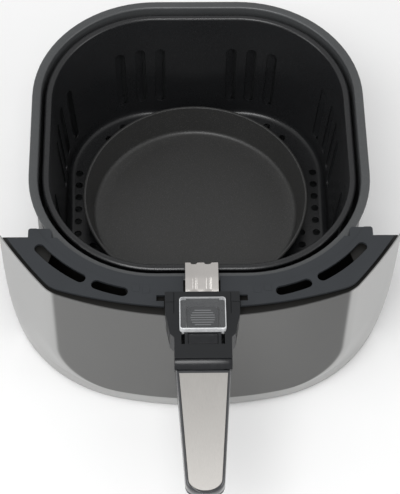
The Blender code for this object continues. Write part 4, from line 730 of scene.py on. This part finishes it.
def wall_frame(along, wall):
    """Matrix at a louvre's middle: X along the wall clockwise from above, Y outwards, Z up."""
    z = BASKET_RIM - LOUVRE_TOP - LOUVRE_LENGTH / 2
    half, corner = basket_ring(0.0, z)[:2]
    straight = (half[0] - corner, half[1] - corner)
    local = along if wall in ("front", "back") else along - BASKET_Y
    axis = 0 if wall in ("front", "back") else 1
    past = max(abs(local) - straight[axis], 0.0)
    turn = math.asin(past / corner)
    out = half[1 - axis] - corner * (1 - math.cos(turn))
    turn = math.copysign(turn, local)
    place, facing = {"back": ((local, BASKET_Y + out), -turn),
                     "front": ((local, BASKET_Y - out), math.pi + turn),
                     "right": ((out, BASKET_Y + local), -math.pi / 2 + turn),
                     "left": ((-out, BASKET_Y + local), math.pi / 2 - turn)}[wall]
    lean = math.atan2(BASKET_TAPER[1 - axis], BASKET_RIM - BASKET_FLOOR)
    return (Matrix.Translation((*place, z)) @ Matrix.Rotation(facing, 4, "Z")
            @ Matrix.Rotation(-lean, 4, "X"))


frames = [wall_frame(side * x, wall) for x in BACK_LOUVRES for side in (-1, 1)
          for wall in ("front", "back")]
frames += [wall_frame(y, wall) for y in SIDE_LOUVRES for wall in ("left", "right")]


def stadium(half_width, half_length):
    """Upright outline with round ends, in (across, up)."""
    reach = half_length - half_width
    return arc((0.0, reach), half_width, 0, 180, 8) + arc((0.0, -reach), half_width, 180, 360, 8)


upright = Matrix.Rotation(math.pi / 2, 4, "X")
windows = bmesh.new()
scoops = bmesh.new()
for place in frames:
    gather(windows, plate(stadium(LOUVRE_WIDTH / 2, LOUVRE_LENGTH / 2), -0.004, 0.004), place @ upright)
    scoop = bmesh.new()
    bmesh.ops.create_grid(scoop, x_segments=8, y_segments=36, size=0.5)
    for vert in scoop.verts:
        share = vert.co.x + 0.5
        up = vert.co.y * LOUVRE_LENGTH
        end_room = LOUVRE_LENGTH / 2 - abs(up)
        round_in = min(end_room / (LOUVRE_WIDTH / 2), 1.0)
        close = math.sqrt(1 - (1 - round_in) ** 2)
        left = -close * LOUVRE_WIDTH / 2 - 0.0003
        edge = close * LOUVRE_WIDTH / 2 - LOUVRE_SLIT
        across = left + share * max(edge - left, 0.0002)
        deep = LOUVRE_OUT * share ** 1.2 * min(end_room / 0.006, 1.0) ** 0.8
        vert.co = (across, deep - 0.0001, up)
    bmesh.ops.recalc_face_normals(scoop, faces=scoop.faces[:])
    bmesh.ops.solidify(scoop, geom=scoop.faces[:], thickness=0.0008)
    gather(scoops, scoop, place)
for row, reach in enumerate(HOLE_REACH):
    for column in range(-reach, reach + 1):
        for side in (-1, 1):
            drum(windows, (column * HOLE_PITCH, BASKET_Y + side * (row + 0.5) * HOLE_PITCH, BASKET_FLOOR),
                 HOLE_RADIUS, 0.006, sides=12)
shell = carved(shell, windows)
gather(shell, scoops)
nonstick = coating("nonstick_coating", (0.013, 0.0135, 0.0145), (0.06, 0.06, 0.064), 0.29, 0.15)
basket = solid("basket_pressing", shell, nonstick)
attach(basket, "basket")
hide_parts("basket")


# Feet of the basket: pressed silicone plugs, stretched through holes in its floor. Four solid rivets
# with flattened heads tie the strap to its front wall.
silicone, shader, place = new_finish("silicone", {"Specular IOR Level": 0.3})
dust = speckle(place, 0.0006, 2.0)
feed(shader, {"Base Color": blend((0.016, 0.016, 0.016, 1.0), (0.045, 0.045, 0.044, 1.0), dust),
              "Roughness": 0.62 + 0.15 * dust, "Normal": relief(dust, 0.00003, 0.4)})


def welded_copy(name):
    """Mesh of one of the frame's pieces with its loose triangles joined up."""
    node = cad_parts[name]
    shell = bmesh.new()
    shell.from_mesh(node.data)
    bmesh.ops.transform(shell, matrix=node.matrix_world, verts=shell.verts[:])
    bmesh.ops.remove_doubles(shell, verts=shell.verts[:], dist=0.00002)
    return shell


def fitted(name, body, shell, finish, stands_for=None, smooth=30.0):
    """Puts a piece into the scene in the place of one of the frame's."""
    piece = solid(name, shell, finish, smooth)
    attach(piece, body)
    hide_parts(stands_for)
    return piece


for number in range(1, 5):
    low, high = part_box(f"basket_foot_{number}")
    radius, centre = (high.x - low.x) / 2, ((low.x + high.x) / 2, (low.y + high.y) / 2)
    under = BASKET_LOW - 0.0001
    profile = [(0.0, low.z + 0.0006), (radius * 0.3, low.z + 0.0006), (radius * 0.4, low.z),
               (radius * 0.72, low.z), (radius * 0.9, low.z + 0.0010), (radius * 0.985, low.z + 0.0030),
               (radius * 0.985, under - 0.0008), (radius * 0.9, under), (radius * 0.4, under),
               (radius * 0.4, BASKET_FLOOR + 0.0001), (radius * 0.6, BASKET_FLOOR + 0.0001),
               (radius * 0.6, BASKET_FLOOR + 0.0005), (radius * 0.45, high.z - 0.0004),
               (radius * 0.3, high.z), (0.0, high.z)]
    fitted(f"silicone_plug_{number}", "basket", spun(profile, 28, centre), silicone,
           f"basket_foot_{number}", 50.0)

wall_lean = math.atan2(BASKET_TAPER[1], BASKET_RIM - BASKET_FLOOR)
for number in range(1, 5):
    low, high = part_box(f"strap_rivet_{number}")
    middle = (low + high) / 2
    reach = (high.y - low.y) / 2 / math.cos(wall_lean) - 0.0032 * math.sin(wall_lean)
    profile = [(0.0, -reach), (0.0016, -reach + 0.0002), (0.0027, -reach + 0.0006),
               (0.0031, -reach + 0.0011), (0.0018, -reach + 0.0011), (0.0018, reach - 0.0011),
               (0.0031, reach - 0.0011), (0.0027, reach - 0.0005), (0.0014, reach - 0.0001), (0.0, reach)]
    shell = spun(profile, 24)
    bmesh.ops.transform(shell, matrix=Matrix.Translation(middle)
                        @ Matrix.Rotation(math.pi / 2 + wall_lean, 4, "X"), verts=shell.verts[:])
    fitted(f"flat_rivet_{number}", "basket", shell, zinc, f"strap_rivet_{number}", 40.0)


# Strap: bright stainless strip with two ribs pressed up along it for stiffness. It is riveted to the
# basket's front wall, arches over both rims, and its forked end is screwed under the head.
strap_low, strap_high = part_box("handle_strap")
STRAP_HALF = strap_high.x
STRAP_THICK = 0.0012
STRAP_RIBS = ((-0.0056, 0.0018), (0.0046, 0.0020))   # middle and half width
STRAP_RIB_HIGH = 0.0014
STRAP_BEND = 0.0045
STRAP_ARCH_MORE = 0.0018      # its arch stands a little higher than the frame's
TANG_Z = RIM + 0.0040
TANG_LENGTH = 0.008
TANG_SCREW_X = 0.0085
SCREW_HOLE = 0.0017
RIVET_HOLE = 0.00185
FORK_HALF = 0.0046
HEAD_BACK = head_high.y

BASKET_FRONT_Y = basket_low.y
foot_low, foot_high = strap_low.z, BASKET_RIM - 0.016
arch_top = strap_high.z - STRAP_THICK + STRAP_ARCH_MORE


def wall_at(z):
    """Y of the outside of the basket's front wall at a height, with a hair's gap."""
    down = (BASKET_RIM - z) / (BASKET_RIM - BASKET_FLOOR)
    return BASKET_Y - BASKET_HALF[1] + BASKET_BEAD + BASKET_TAPER[1] * down - 0.0002


outside = BASKET_FRONT_Y - 0.0003
knots = [(wall_at(foot_low), foot_low), (wall_at(foot_high), foot_high),
         (outside, BASKET_RIM - 0.0075), (outside, arch_top),
         (-PAN_HALF[1] - 0.001, arch_top), (HEAD_BACK + 0.0035, TANG_Z + 0.0012),
         (HEAD_BACK + 0.0006, TANG_Z), (HEAD_BACK - TANG_LENGTH, TANG_Z)]
softness = [0.0, 0.003, 0.002, STRAP_BEND, 0.003, 0.0012, 0.0005, 0.0]


def softened(points, radii, steps=8):
    """Line through points with each corner replaced by a curve that starts a distance before it."""
    line = []
    for i, (point, radius) in enumerate(zip(points, radii)):
        here = Vector(point)
        if radius == 0.0:
            line.append(here)
            continue
        before = (Vector(points[i - 1]) - here).normalized() * radius + here
        after = (Vector(points[i + 1]) - here).normalized() * radius + here
        for step in range(steps + 1):
            t = step / steps
            line.append((1 - t) ** 2 * before + 2 * t * (1 - t) * here + t * t * after)
    return line


def resampled(line, gap):
    """Adds points so that none of a line's runs is longer than a gap."""
    out = [line[0]]
    for first, last in zip(line, line[1:]):
        parts = max(1, math.ceil((last - first).length / gap))
        out += [first + (last - first) * part / parts for part in range(1, parts + 1)]
    return out


centre_line = resampled(softened(knots, softness), 0.002)
travel = [0.0]
for first, last in zip(centre_line, centre_line[1:]):
    travel.append(travel[-1] + (last - first).length)
across_steps = 48
shell = bmesh.new()
bmesh.ops.create_grid(shell, x_segments=across_steps, y_segments=len(centre_line) - 1, size=0.5)
for vert in shell.verts:
    row = round((vert.co.y + 0.5) * (len(centre_line) - 1))
    x = vert.co.x * 2 * STRAP_HALF
    here = centre_line[row]
    along = centre_line[min(row + 1, len(centre_line) - 1)] - centre_line[max(row - 1, 0)]
    out = Vector((-along.y, along.x)).normalized()
    lift = 0.0
    for middle, half in STRAP_RIBS:
        off = abs(x - middle) / half
        if off < 1.3:
            lift = max(lift, STRAP_RIB_HIGH * (0.5 + 0.5 * math.cos(math.pi * min(off / 1.3, 1.0))) ** 0.5)
    fade = min(max((travel[row] - (foot_high - foot_low)) / 0.006, 0.0), 1.0)
    fade *= min(max((travel[-1] - TANG_LENGTH - 0.001 - travel[row]) / 0.003, 0.0), 1.0)
    fade *= 1.0 if here.y > HEAD_BACK else 0.0
    raised = here + out * (lift * fade)
    vert.co = (x, raised.x, raised.y)
bmesh.ops.recalc_face_normals(shell, faces=shell.faces[:])
lowest = min(shell.faces, key=lambda face: face.calc_center_median().z)
if lowest.normal.y > 0:
    bmesh.ops.reverse_faces(shell, faces=shell.faces[:])
bmesh.ops.solidify(shell, geom=shell.faces[:], thickness=-STRAP_THICK)
fork = bmesh.new()
block(fork, (-FORK_HALF, FORK_HALF), (HEAD_BACK - TANG_LENGTH - CUT, HEAD_BACK - 0.001),
      (RIM, RIM + 0.012))
for x in (-TANG_SCREW_X, TANG_SCREW_X):
    drum(fork, (x, HEAD_BACK - TANG_LENGTH / 2, TANG_Z), SCREW_HOLE, 0.006)
for number in range(1, 5):
    low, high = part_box(f"strap_rivet_{number}")
    drum(fork, (low + high) / 2, RIVET_HOLE, 0.012, "Y")
shell = carved(shell, fork)
strap_steel, shader, place, hair, cloud, rough, normal = brushed(
    "strap_steel", "Y", 0.20, 0.00001)
feed(shader, {"Base Color": blend((0.60, 0.575, 0.55, 1.0), (0.74, 0.715, 0.69, 1.0), cloud),
              "Roughness": rough, "Normal": normal})
fitted("ribbed_strap", "basket", shell, strap_steel, "handle_strap", 35.0)


# Head of the handle and the cover under it: satin charcoal mouldings, their edges rounded by the
# mould. The cover is screwed on from below and the strap's tang is screwed up into the head.
head_plastic = moulded("head_plastic", (0.014, 0.015, 0.0165), 0.38, 0.0006, 0.00004)
HEAD_TOP = head_high.z
guard_low, guard_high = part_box("button_guard")
TRACK_X = (0.0130, 0.0155)
GROOVE = (0.0005, 0.0008)     # width and depth of the parting grooves on its top
EAR_IN = 0.0062               # clip blocks at its back corners: inwards from the side
EAR_LENGTH = 0.0085
shell = welded_copy("handle_head")
grooves = bmesh.new()
ear_x, ear_y = head_high.x - EAR_IN, head_high.y - EAR_LENGTH
for side in (-1, 1):
    block(grooves, sorted((side * ear_x, side * (ear_x - GROOVE[0]))),
          (ear_y - 0.010, head_high.y + CUT), (HEAD_TOP - GROOVE[1], HEAD_TOP + CUT))
    block(grooves, sorted((side * ear_x, side * (head_high.x + CUT))),
          (ear_y - GROOVE[0], ear_y), (HEAD_TOP - GROOVE[1], HEAD_TOP + CUT))
    block(grooves, sorted((side * TRACK_X[0], side * TRACK_X[1])),
          (guard_low.y - 0.0088, guard_low.y + 0.0030), (HEAD_TOP - 0.015, HEAD_TOP + CUT))
shell = carved(shell, grooves)
head = fitted("head_moulding", "basket", eased(shell, 0.0004),
              head_plastic, "handle_head")
flat_shaded(head)
cover = fitted("head_cover_moulding", "basket",
               eased(welded_copy("head_cover"), 0.0004), charcoal, "head_cover")
flat_shaded(cover)
place_screws(["head_screw_1", "head_screw_2", "tang_screw_1", "tang_screw_2"], "basket", "up")

# Track plate: a polished black insert, pushed into the recess between the guard's two tracks.
gloss_black, shader, place = new_finish("gloss_black", {"Specular IOR Level": 0.3})
ripple = speckle(place, 0.004, 1.0)
feed(shader, {"Base Color": blend((0.010, 0.0105, 0.012, 1.0), (0.018, 0.019, 0.021, 1.0), ripple),
              "Roughness": 0.16 + 0.1 * ripple, "Normal": relief(ripple, 0.00002, 0.3)})
plate_piece = fitted("track_insert", "basket", eased(welded_copy("track_plate"), 0.0002),
                     gloss_black, "track_plate")
flat_shaded(plate_piece)

# Latch: a bent lever moulded in black, turning on a ground steel pin; its hook holds under the keeper.
fitted("latch_hook", "latch", eased(welded_copy("latch_lever"), 0.0003),
       black_plastic, "latch_lever")
pin_low, pin_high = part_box("latch_pin")
pin_middle = (pin_low + pin_high) / 2
pin_half, pin_radius = (pin_high.x - pin_low.x) / 2, (pin_high.z - pin_low.z) / 2
shell = spun([(0.0, -pin_half), (pin_radius - 0.0003, -pin_half), (pin_radius, -pin_half + 0.0003),
              (pin_radius, pin_half - 0.0003), (pin_radius - 0.0003, pin_half), (0.0, pin_half)], 32)
bmesh.ops.transform(shell, matrix=Matrix.Translation(pin_middle) @ Matrix.Rotation(math.pi / 2, 4, "Y"),
                    verts=shell.verts[:])
fitted("ground_pin", "basket", shell, zinc, "latch_pin", 40.0)

# Spring under the button: five turns of hard-drawn wire, its ends closed and ground flat.
spring_low, spring_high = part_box("button_spring")
WIRE = 0.00048                # radius
SPRING_TURNS = 5
SPRING_CLOSING = 0.035        # how much closer its end turns lie
SPRING_SEAT_GAP = 0.00002
spring_y = (spring_low.y + spring_high.y) / 2
coil = (spring_high.x - spring_low.x) / 2 - WIRE - SPRING_SEAT_GAP
spring_rise = spring_high.z - spring_low.z - 2 * (WIRE + SPRING_SEAT_GAP)
steps, around = SPRING_TURNS * 24, 10


def ringed(rings):
    """Closed mesh through rings of places that all have as many points."""
    shell = bmesh.new()
    loops = []
    for ring in rings:
        verts = [shell.verts.new(point) for point in ring]
        loops.append([shell.edges.new((verts[i], verts[(i + 1) % len(verts)])) for i in range(len(verts))])
    for first, last in zip(loops, loops[1:]):
        bmesh.ops.bridge_loops(shell, edges=first + last)
    for loop in (loops[0], loops[-1]):
        bmesh.ops.contextual_create(shell, geom=loop)
    return shell


rings = []
for step in range(steps + 1):
    turn = 2 * math.pi * step / 24
    share = step / steps
    rise = spring_rise * (share - SPRING_CLOSING * math.sin(2 * math.pi * share))
    middle = Vector((coil * math.cos(turn), spring_y + coil * math.sin(turn),
                     spring_low.z + WIRE + SPRING_SEAT_GAP + rise))
    outwards = Vector((math.cos(turn), math.sin(turn), 0.0))
    rings.append([middle + outwards * (WIRE * math.cos(a)) + Vector((0, 0, WIRE * math.sin(a)))
                  for a in (2 * math.pi * i / around for i in range(around))])
shell = ringed(rings)
spring_steel, shader, place = new_finish("spring_steel", {"Metallic": 1.0})
drawn = speckle(place, 0.0008, 2.0)
feed(shader, {"Base Color": blend((0.38, 0.38, 0.37, 1.0), (0.55, 0.55, 0.54, 1.0), drawn),
              "Roughness": 0.24 + 0.12 * drawn})
spring = solid("coiled_spring", shell, spring_steel, 50.0)
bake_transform(spring)
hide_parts("button_spring")


# Release button: charcoal plastic with a raised oval of ribs for the thumb, guided by the head.
button_low, button_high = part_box("release_button")
RIB_HIGH = 0.0004
RIB_HALF = 0.00045
RIB_PITCH = 0.0020
BUTTON_ROUND = 0.0009
BUTTON_TOP = button_high.z - RIB_HIGH
button_y = (button_low.y + button_high.y) / 2
button_half = ((button_high.x - button_low.x) / 2, (button_high.y - button_low.y) / 2)
profile = [(0.0, button_low.z), (0.0, BUTTON_TOP - BUTTON_ROUND)]
profile += [(BUTTON_ROUND * (1 - math.cos(math.radians(a))),
             BUTTON_TOP - BUTTON_ROUND * (1 - math.sin(math.radians(a)))) for a in (30, 60, 90)]
shell = tub([((button_half[0] - inset, button_half[1] - inset), 0.003 - inset, z, button_y)
             for inset, z in profile])
ribs = bmesh.new()
for row in range(-3, 4):
    reach = 0.0088 * math.sqrt(1 - (row / 4) ** 2)
    rib_y = button_y + row * RIB_PITCH
    block(ribs, (-reach, reach), (rib_y - RIB_HALF, rib_y + RIB_HALF),
          (BUTTON_TOP - RIB_HIGH, BUTTON_TOP + RIB_HIGH))
shell = carved(shell, ribs, "UNION")
button_plastic, shader, place = new_finish("button_plastic", {"Specular IOR Level": 0.3})
pits = speckle(place, 0.0005, 2.0)
spot = place.node("SeparateXYZ", None, {"Vector": place})
up_there = Flow(spot.tree, spot.socket.node.outputs["Z"])
# Painted highlight: the crests of the ribs are coloured a lighter grey than the rest of the button.
painted_rib_highlight = up_there.node("MapRange", None, {"Value": up_there, "From Min": BUTTON_TOP + 0.0001,
                                        "From Max": BUTTON_TOP + 0.0003})
feed(shader, {"Base Color": blend((0.022, 0.023, 0.025, 1.0), (0.16, 0.165, 0.17, 1.0),
                                  0.75 * painted_rib_highlight + 0.1 * pits),
              "Roughness": 0.34 + 0.12 * pits, "Normal": relief(pits, 0.00003, 0.5)})
button = fitted("thumb_button", "button", eased(shell, 0.00016, 40.0),
                button_plastic, "release_button")
flat_shaded(button)


# Guard: a clear polycarbonate cover over the button, open below and at its back, that slides towards
# the grip on two feet. Its sides, rounded edges and feet carry a near-white painted highlight for the light
# its edges catch, and its clear faces a grey veil of painted reflection that thickens at grazing angles.
clear_plastic, shader, place = new_finish("clear_plastic", {"Specular IOR Level": 0.5, "Roughness": 0.06,
                                                           "Base Color": (0.45, 0.46, 0.47, 1.0)})
haze = speckle(place, 0.006, 1.0)
# Painted reflection: the clear faces are a grey veil that grows more opaque where they are seen at a grazing
# angle.
facing = place.node("LayerWeight", None, {"Blend": 0.35}, output=1)
feed(shader, {"Alpha": 0.04 + 0.30 * facing + 0.03 * haze})
# Painted highlight: near-white, mostly opaque colour for the guard's sides, rounded edges and feet.
clear_edge_painted_highlight, edge_shader, place = new_finish("clear_plastic_edge_painted_highlight", {"Specular IOR Level": 0.6})
haze = speckle(place, 0.002, 1.0)
feed(edge_shader, {"Base Color": blend((0.72, 0.74, 0.76, 1.0), (0.92, 0.93, 0.94, 1.0), haze),
                   "Roughness": 0.12 + 0.1 * haze, "Alpha": 0.62 + 0.2 * haze})
GUARD_WALL = 0.0013
GUARD_ROUND = 0.0007
GUARD_FOOT_X = 0.01425
guard_bottom = HEAD_TOP + 0.0003
guard_y = (guard_low.y + guard_high.y) / 2
guard_half = (guard_high.x, (guard_high.y - guard_low.y) / 2)
profile = [(GUARD_WALL, guard_high.z - GUARD_WALL), (GUARD_WALL, guard_bottom), (0.0, guard_bottom)]
profile += [(GUARD_ROUND * (1 - math.cos(math.radians(a))),
             guard_high.z - GUARD_ROUND * (1 - math.sin(math.radians(a)))) for a in (0, 30, 60, 90)]
shell = tub([((guard_half[0] - inset, guard_half[1] - inset), 0.0022 - inset, z, guard_y)
             for inset, z in profile])
# Painted highlight: every face but the flat top and the ceiling inside takes the near-white edge finish.
for face in shell.faces:
    face.material_index = 0 if abs(face.normal.z) > 0.97 and face.calc_center_median().z > guard_bottom else 1
button_room = bmesh.new()
block(button_room, (-button_half[0] - 0.0006, button_half[0] + 0.0006),
      (guard_high.y - 2 * GUARD_WALL, guard_high.y + CUT), (guard_bottom - CUT, button_high.z + 0.0003))
shell = carved(shell, button_room)
for side in (-1, 1):
    foot = bmesh.new()
    block(foot, (side * GUARD_FOOT_X - 0.0009, side * GUARD_FOOT_X + 0.0009),
          (guard_low.y + 0.0001, guard_low.y + 0.0028), (HEAD_TOP - 0.0024, guard_bottom + 0.0012))
    for face in foot.faces:
        face.material_index = 1
    gather(shell, foot)
guard = fitted("clear_guard", "guard", shell, clear_plastic, "button_guard")
guard.data.materials.append(clear_edge_painted_highlight)


# Band between head and grip: a polished black wedge, arched along its upper edge.
band_low, band_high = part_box("junction_band")
BAND_HALF = band_high.x
rings = []
for step in range(13):
    share = step / 12
    y = band_high.y - (band_high.y - band_low.y) * share
    top = band_high.z - (band_high.z - band_low.z - 0.0006) * share ** 1.5
    ring = [(-BAND_HALF, band_low.z), (BAND_HALF, band_low.z)]
    ring += [(BAND_HALF * math.cos(math.radians(turn)),
              top - 0.0004 - 0.0009 * (1 - math.sin(math.radians(turn)))) for turn in range(0, 181, 15)]
    rings.append([(x, y, z) for x, z in ring])
fitted("polished_band", "basket", ringed(rings), gloss_black, "junction_band", 40.0)


# Grip: a hollow handle in two halves, screwed together from below. The upper half is a gloss frame
# round a brushed metal inlay, and both taper to a rounded tip that bends down slightly.
GRIP_START_Y = head_low.y - 0.0003
GRIP_LENGTH = 0.096
GRIP_HALF = 0.0200
GRIP_TIP_HALF = 0.0138
GRIP_TOP = RIM + 0.0020
GRIP_FALL = 0.0125
GRIP_THICK = 0.022
GRIP_SPLIT = 0.009
GRIP_ROUND = 0.9              # share of its length where its tip starts to round
GRIP_MARGIN = 0.0022          # of the frame beside the inlay
INLAY_START = 0.0084
INLAY_FULL = 0.895            # share of the grip's length where the inlay's tip starts to round
INLAY_END = 0.981             # share of the grip's length
GRIP_ROWS = [step / 40 for step in range(36)] + [0.895, 0.915, 0.93, 0.945, 0.957, 0.967, 0.976, 0.984,
                                                 0.990, 0.995, 0.998, 1.0]


def grip_place(share):
    """The grip at a share of its length: y, half width, top, bottom and parting line."""
    half = GRIP_HALF + (GRIP_TIP_HALF - GRIP_HALF) * min(share / GRIP_ROUND, 1.0)
    end = max(share - GRIP_ROUND, 0.0) / (1.0 - GRIP_ROUND)
    half *= max(math.sqrt(max(1 - end * end, 0.0)), 0.22)
    top = GRIP_TOP - GRIP_FALL * share ** 1.5
    bottom = top - GRIP_THICK * (1 - 0.2 * share) + 0.0075 * end * end
    split = top - GRIP_SPLIT * (1 - 0.3 * end)
    return GRIP_START_Y - GRIP_LENGTH * share, half, top, bottom, split


def upper_ring(share):
    y, half, top, _, split = grip_place(share)
    soft = min(0.0030, half * 0.35)
    side = [(half, split + 0.00015)]
    side += [(half - soft * (1 - math.cos(math.radians(a))), top - soft * (1 - math.sin(math.radians(a))))
             for a in (0, 20, 40, 60, 80, 90)]
    side += [(half * 0.3, top)]
    return [(x, y, z) for x, z in side] + [(-x, y, z) for x, z in reversed(side)]


def lower_ring(share):
    y, half, _, bottom, split = grip_place(share)
    soft = min(0.0068, half * 0.6)
    side = [(half, split - 0.00015)]
    side += [(half - soft * (1 - math.cos(math.radians(a))), bottom + soft * (1 - math.sin(math.radians(a))))
             for a in (0, 20, 40, 60, 80, 90)]
    return [(x, y, z) for x, z in side] + [(-x, y, z) for x, z in reversed(side)]


def inlay_outline(margin):
    """Half of the inlay's outline on +X as (share, half width), from its square start to its round tip."""
    start = INLAY_START / GRIP_LENGTH
    line = []
    for step in range(30):
        share = start + (INLAY_FULL - start) * step / 29
        line.append((share, grip_place(share)[1] - margin))
    tip = grip_place(INLAY_FULL)[1] - margin
    reach = INLAY_END - INLAY_FULL - (margin - GRIP_MARGIN) / GRIP_LENGTH
    for turn in range(10, 91, 8):
        line.append((INLAY_FULL + reach * math.sin(math.radians(turn)), tip * math.cos(math.radians(turn))))
    return line


def on_grip(share, x, lift):
    y, _, top, _, _ = grip_place(share)
    return (x, y, top + lift)


def inlay_body(margin, low, high):
    """Sheet that follows the grip's top, closed between two heights over it."""
    shell = bmesh.new()
    line = inlay_outline(margin)
    across = 8
    rims = []
    for lift in (low, high):
        grid = [[shell.verts.new(on_grip(share, half * (2 * i / across - 1), lift))
                 for i in range(across + 1)] for share, half in line if half > 0.0002]
        for row, following in zip(grid, grid[1:]):
            for i in range(across):
                shell.faces.new([row[i], row[i + 1], following[i + 1], following[i]])
        rims.append(grid[0] + [row[-1] for row in grid[1:]] + grid[-1][-2::-1]
                    + [row[0] for row in grid[-2:0:-1]])
    rim_low, rim_high = rims
    for i in range(len(rim_low)):
        shell.faces.new([rim_low[i - 1], rim_low[i], rim_high[i], rim_high[i - 1]])
    bmesh.ops.recalc_face_normals(shell, faces=shell.faces[:])
    return shell


def broken_edges(shell, width, segments, angle=50.0):
    """Bevels the edges that are sharper than an angle."""
    sharp = [edge for edge in shell.edges if edge.calc_face_angle(0.0) > math.radians(angle)]
    bmesh.ops.bevel(shell, geom=sharp, offset=width, offset_type="OFFSET", segments=segments,
                    profile=0.5, affect="EDGES", clamp_overlap=True, material=-1)


frame_shell = carved(ringed([upper_ring(share) for share in GRIP_ROWS]),
                     inlay_body(GRIP_MARGIN - 0.0003, -0.0011, 0.002))
broken_edges(frame_shell, 0.00022, 2)
frame_gloss, shader, place = new_finish("grip_gloss", {"Specular IOR Level": 0.5, "Coat Weight": 0.5,
                                                      "Coat Roughness": 0.06})
ripple = speckle(place, 0.005, 1.0)
feed(shader, {"Base Color": blend((0.026, 0.027, 0.030, 1.0), (0.038, 0.040, 0.043, 1.0), ripple),
              "Roughness": 0.20 + 0.08 * ripple, "Normal": relief(ripple, 0.00003, 0.3)})
fitted("grip_upper_shell", "basket", frame_shell, frame_gloss, "grip_frame", 35.0)

base_shell = ringed([lower_ring(share) for share in GRIP_ROWS])
bores = bmesh.new()
for number in (1, 2):
    low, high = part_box(f"grip_screw_{number}")
    drum(bores, ((low.x + high.x) / 2, (low.y + high.y) / 2, low.z - 0.004 + SCREW_HEAD_HIGH / 2), 0.0031,
         0.008 + SCREW_HEAD_HIGH)
base_shell = carved(base_shell, bores)
fitted("grip_lower_shell", "basket", base_shell, charcoal, "grip_base", 35.0)
place_screws(["grip_screw_1", "grip_screw_2"], "basket", "up")

# Inlay in the grip: thin aluminium, brushed along the grip and bonded into its pocket.
satin_inlay, shader, place, hair, cloud, rough, normal = brushed(
    "satin_inlay", "Y", 0.42, 0.00001)
feed(shader, {"Base Color": blend((0.52, 0.502, 0.48, 1.0), (0.68, 0.66, 0.632, 1.0),
                                  0.7 * hair + 0.3 * cloud),
              "Roughness": rough, "Normal": normal})
inlay_shell = inlay_body(GRIP_MARGIN, -0.001, 0.0002)
broken_edges(inlay_shell, 0.00015, 1)
fitted("brushed_inlay", "basket", inlay_shell, satin_inlay, "grip_inlay", 35.0)


# Baking pan: a shallow round tin spun from aluminised steel with a rolled rim, sprayed with a
# speckled non-stick coating. It stands loose on the basket's floor.
baking_low, baking_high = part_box("baking_pan")
BAKING_CENTRE = ((baking_low.x + baking_high.x) / 2, (baking_low.y + baking_high.y) / 2)
BAKING_RIM = (baking_high.x - baking_low.x) / 2
BAKING_ROLL = 0.0016
BAKING_LEAN = 0.0048
BAKING_WALL = 0.0009
BAKING_FILLET = 0.005
rim_z, floor_z = baking_high.z, baking_low.z
floor_radius = BAKING_RIM - BAKING_ROLL - BAKING_LEAN
wall_top = BAKING_RIM - BAKING_ROLL
profile = [(0.0, floor_z + 0.0001), (floor_radius - 0.012, floor_z + 0.0001),
           (floor_radius - 0.011, floor_z)]
profile += arc((floor_radius - BAKING_FILLET, floor_z + BAKING_FILLET), BAKING_FILLET, 270, 350, 6)
profile += [(wall_top, rim_z - 0.0022)]
roll = 0.00125
centre = (BAKING_RIM - roll, rim_z - roll)
profile += arc(centre, roll, -60, 90, 9)
profile += arc((wall_top - BAKING_WALL + 0.0006, rim_z - 0.0006), 0.0006, 90, 180, 4)
inner = BAKING_FILLET - BAKING_WALL
profile += arc((floor_radius - BAKING_WALL - inner, floor_z + BAKING_WALL + inner), inner, -10, -90, 6)
profile += [(floor_radius - 0.0135, floor_z + BAKING_WALL),
            (floor_radius - 0.0145, floor_z + BAKING_WALL + 0.0001),
            (0.0, floor_z + BAKING_WALL + 0.0001)]
shell = spun(profile, 128, BAKING_CENTRE)
bakeware = coating("bakeware_coating", (0.030, 0.030, 0.0295), (0.17, 0.17, 0.165), 0.42, 0.1)
fitted("baking_tin", "baking_pan", shell, bakeware, "baking_pan", 35.0)
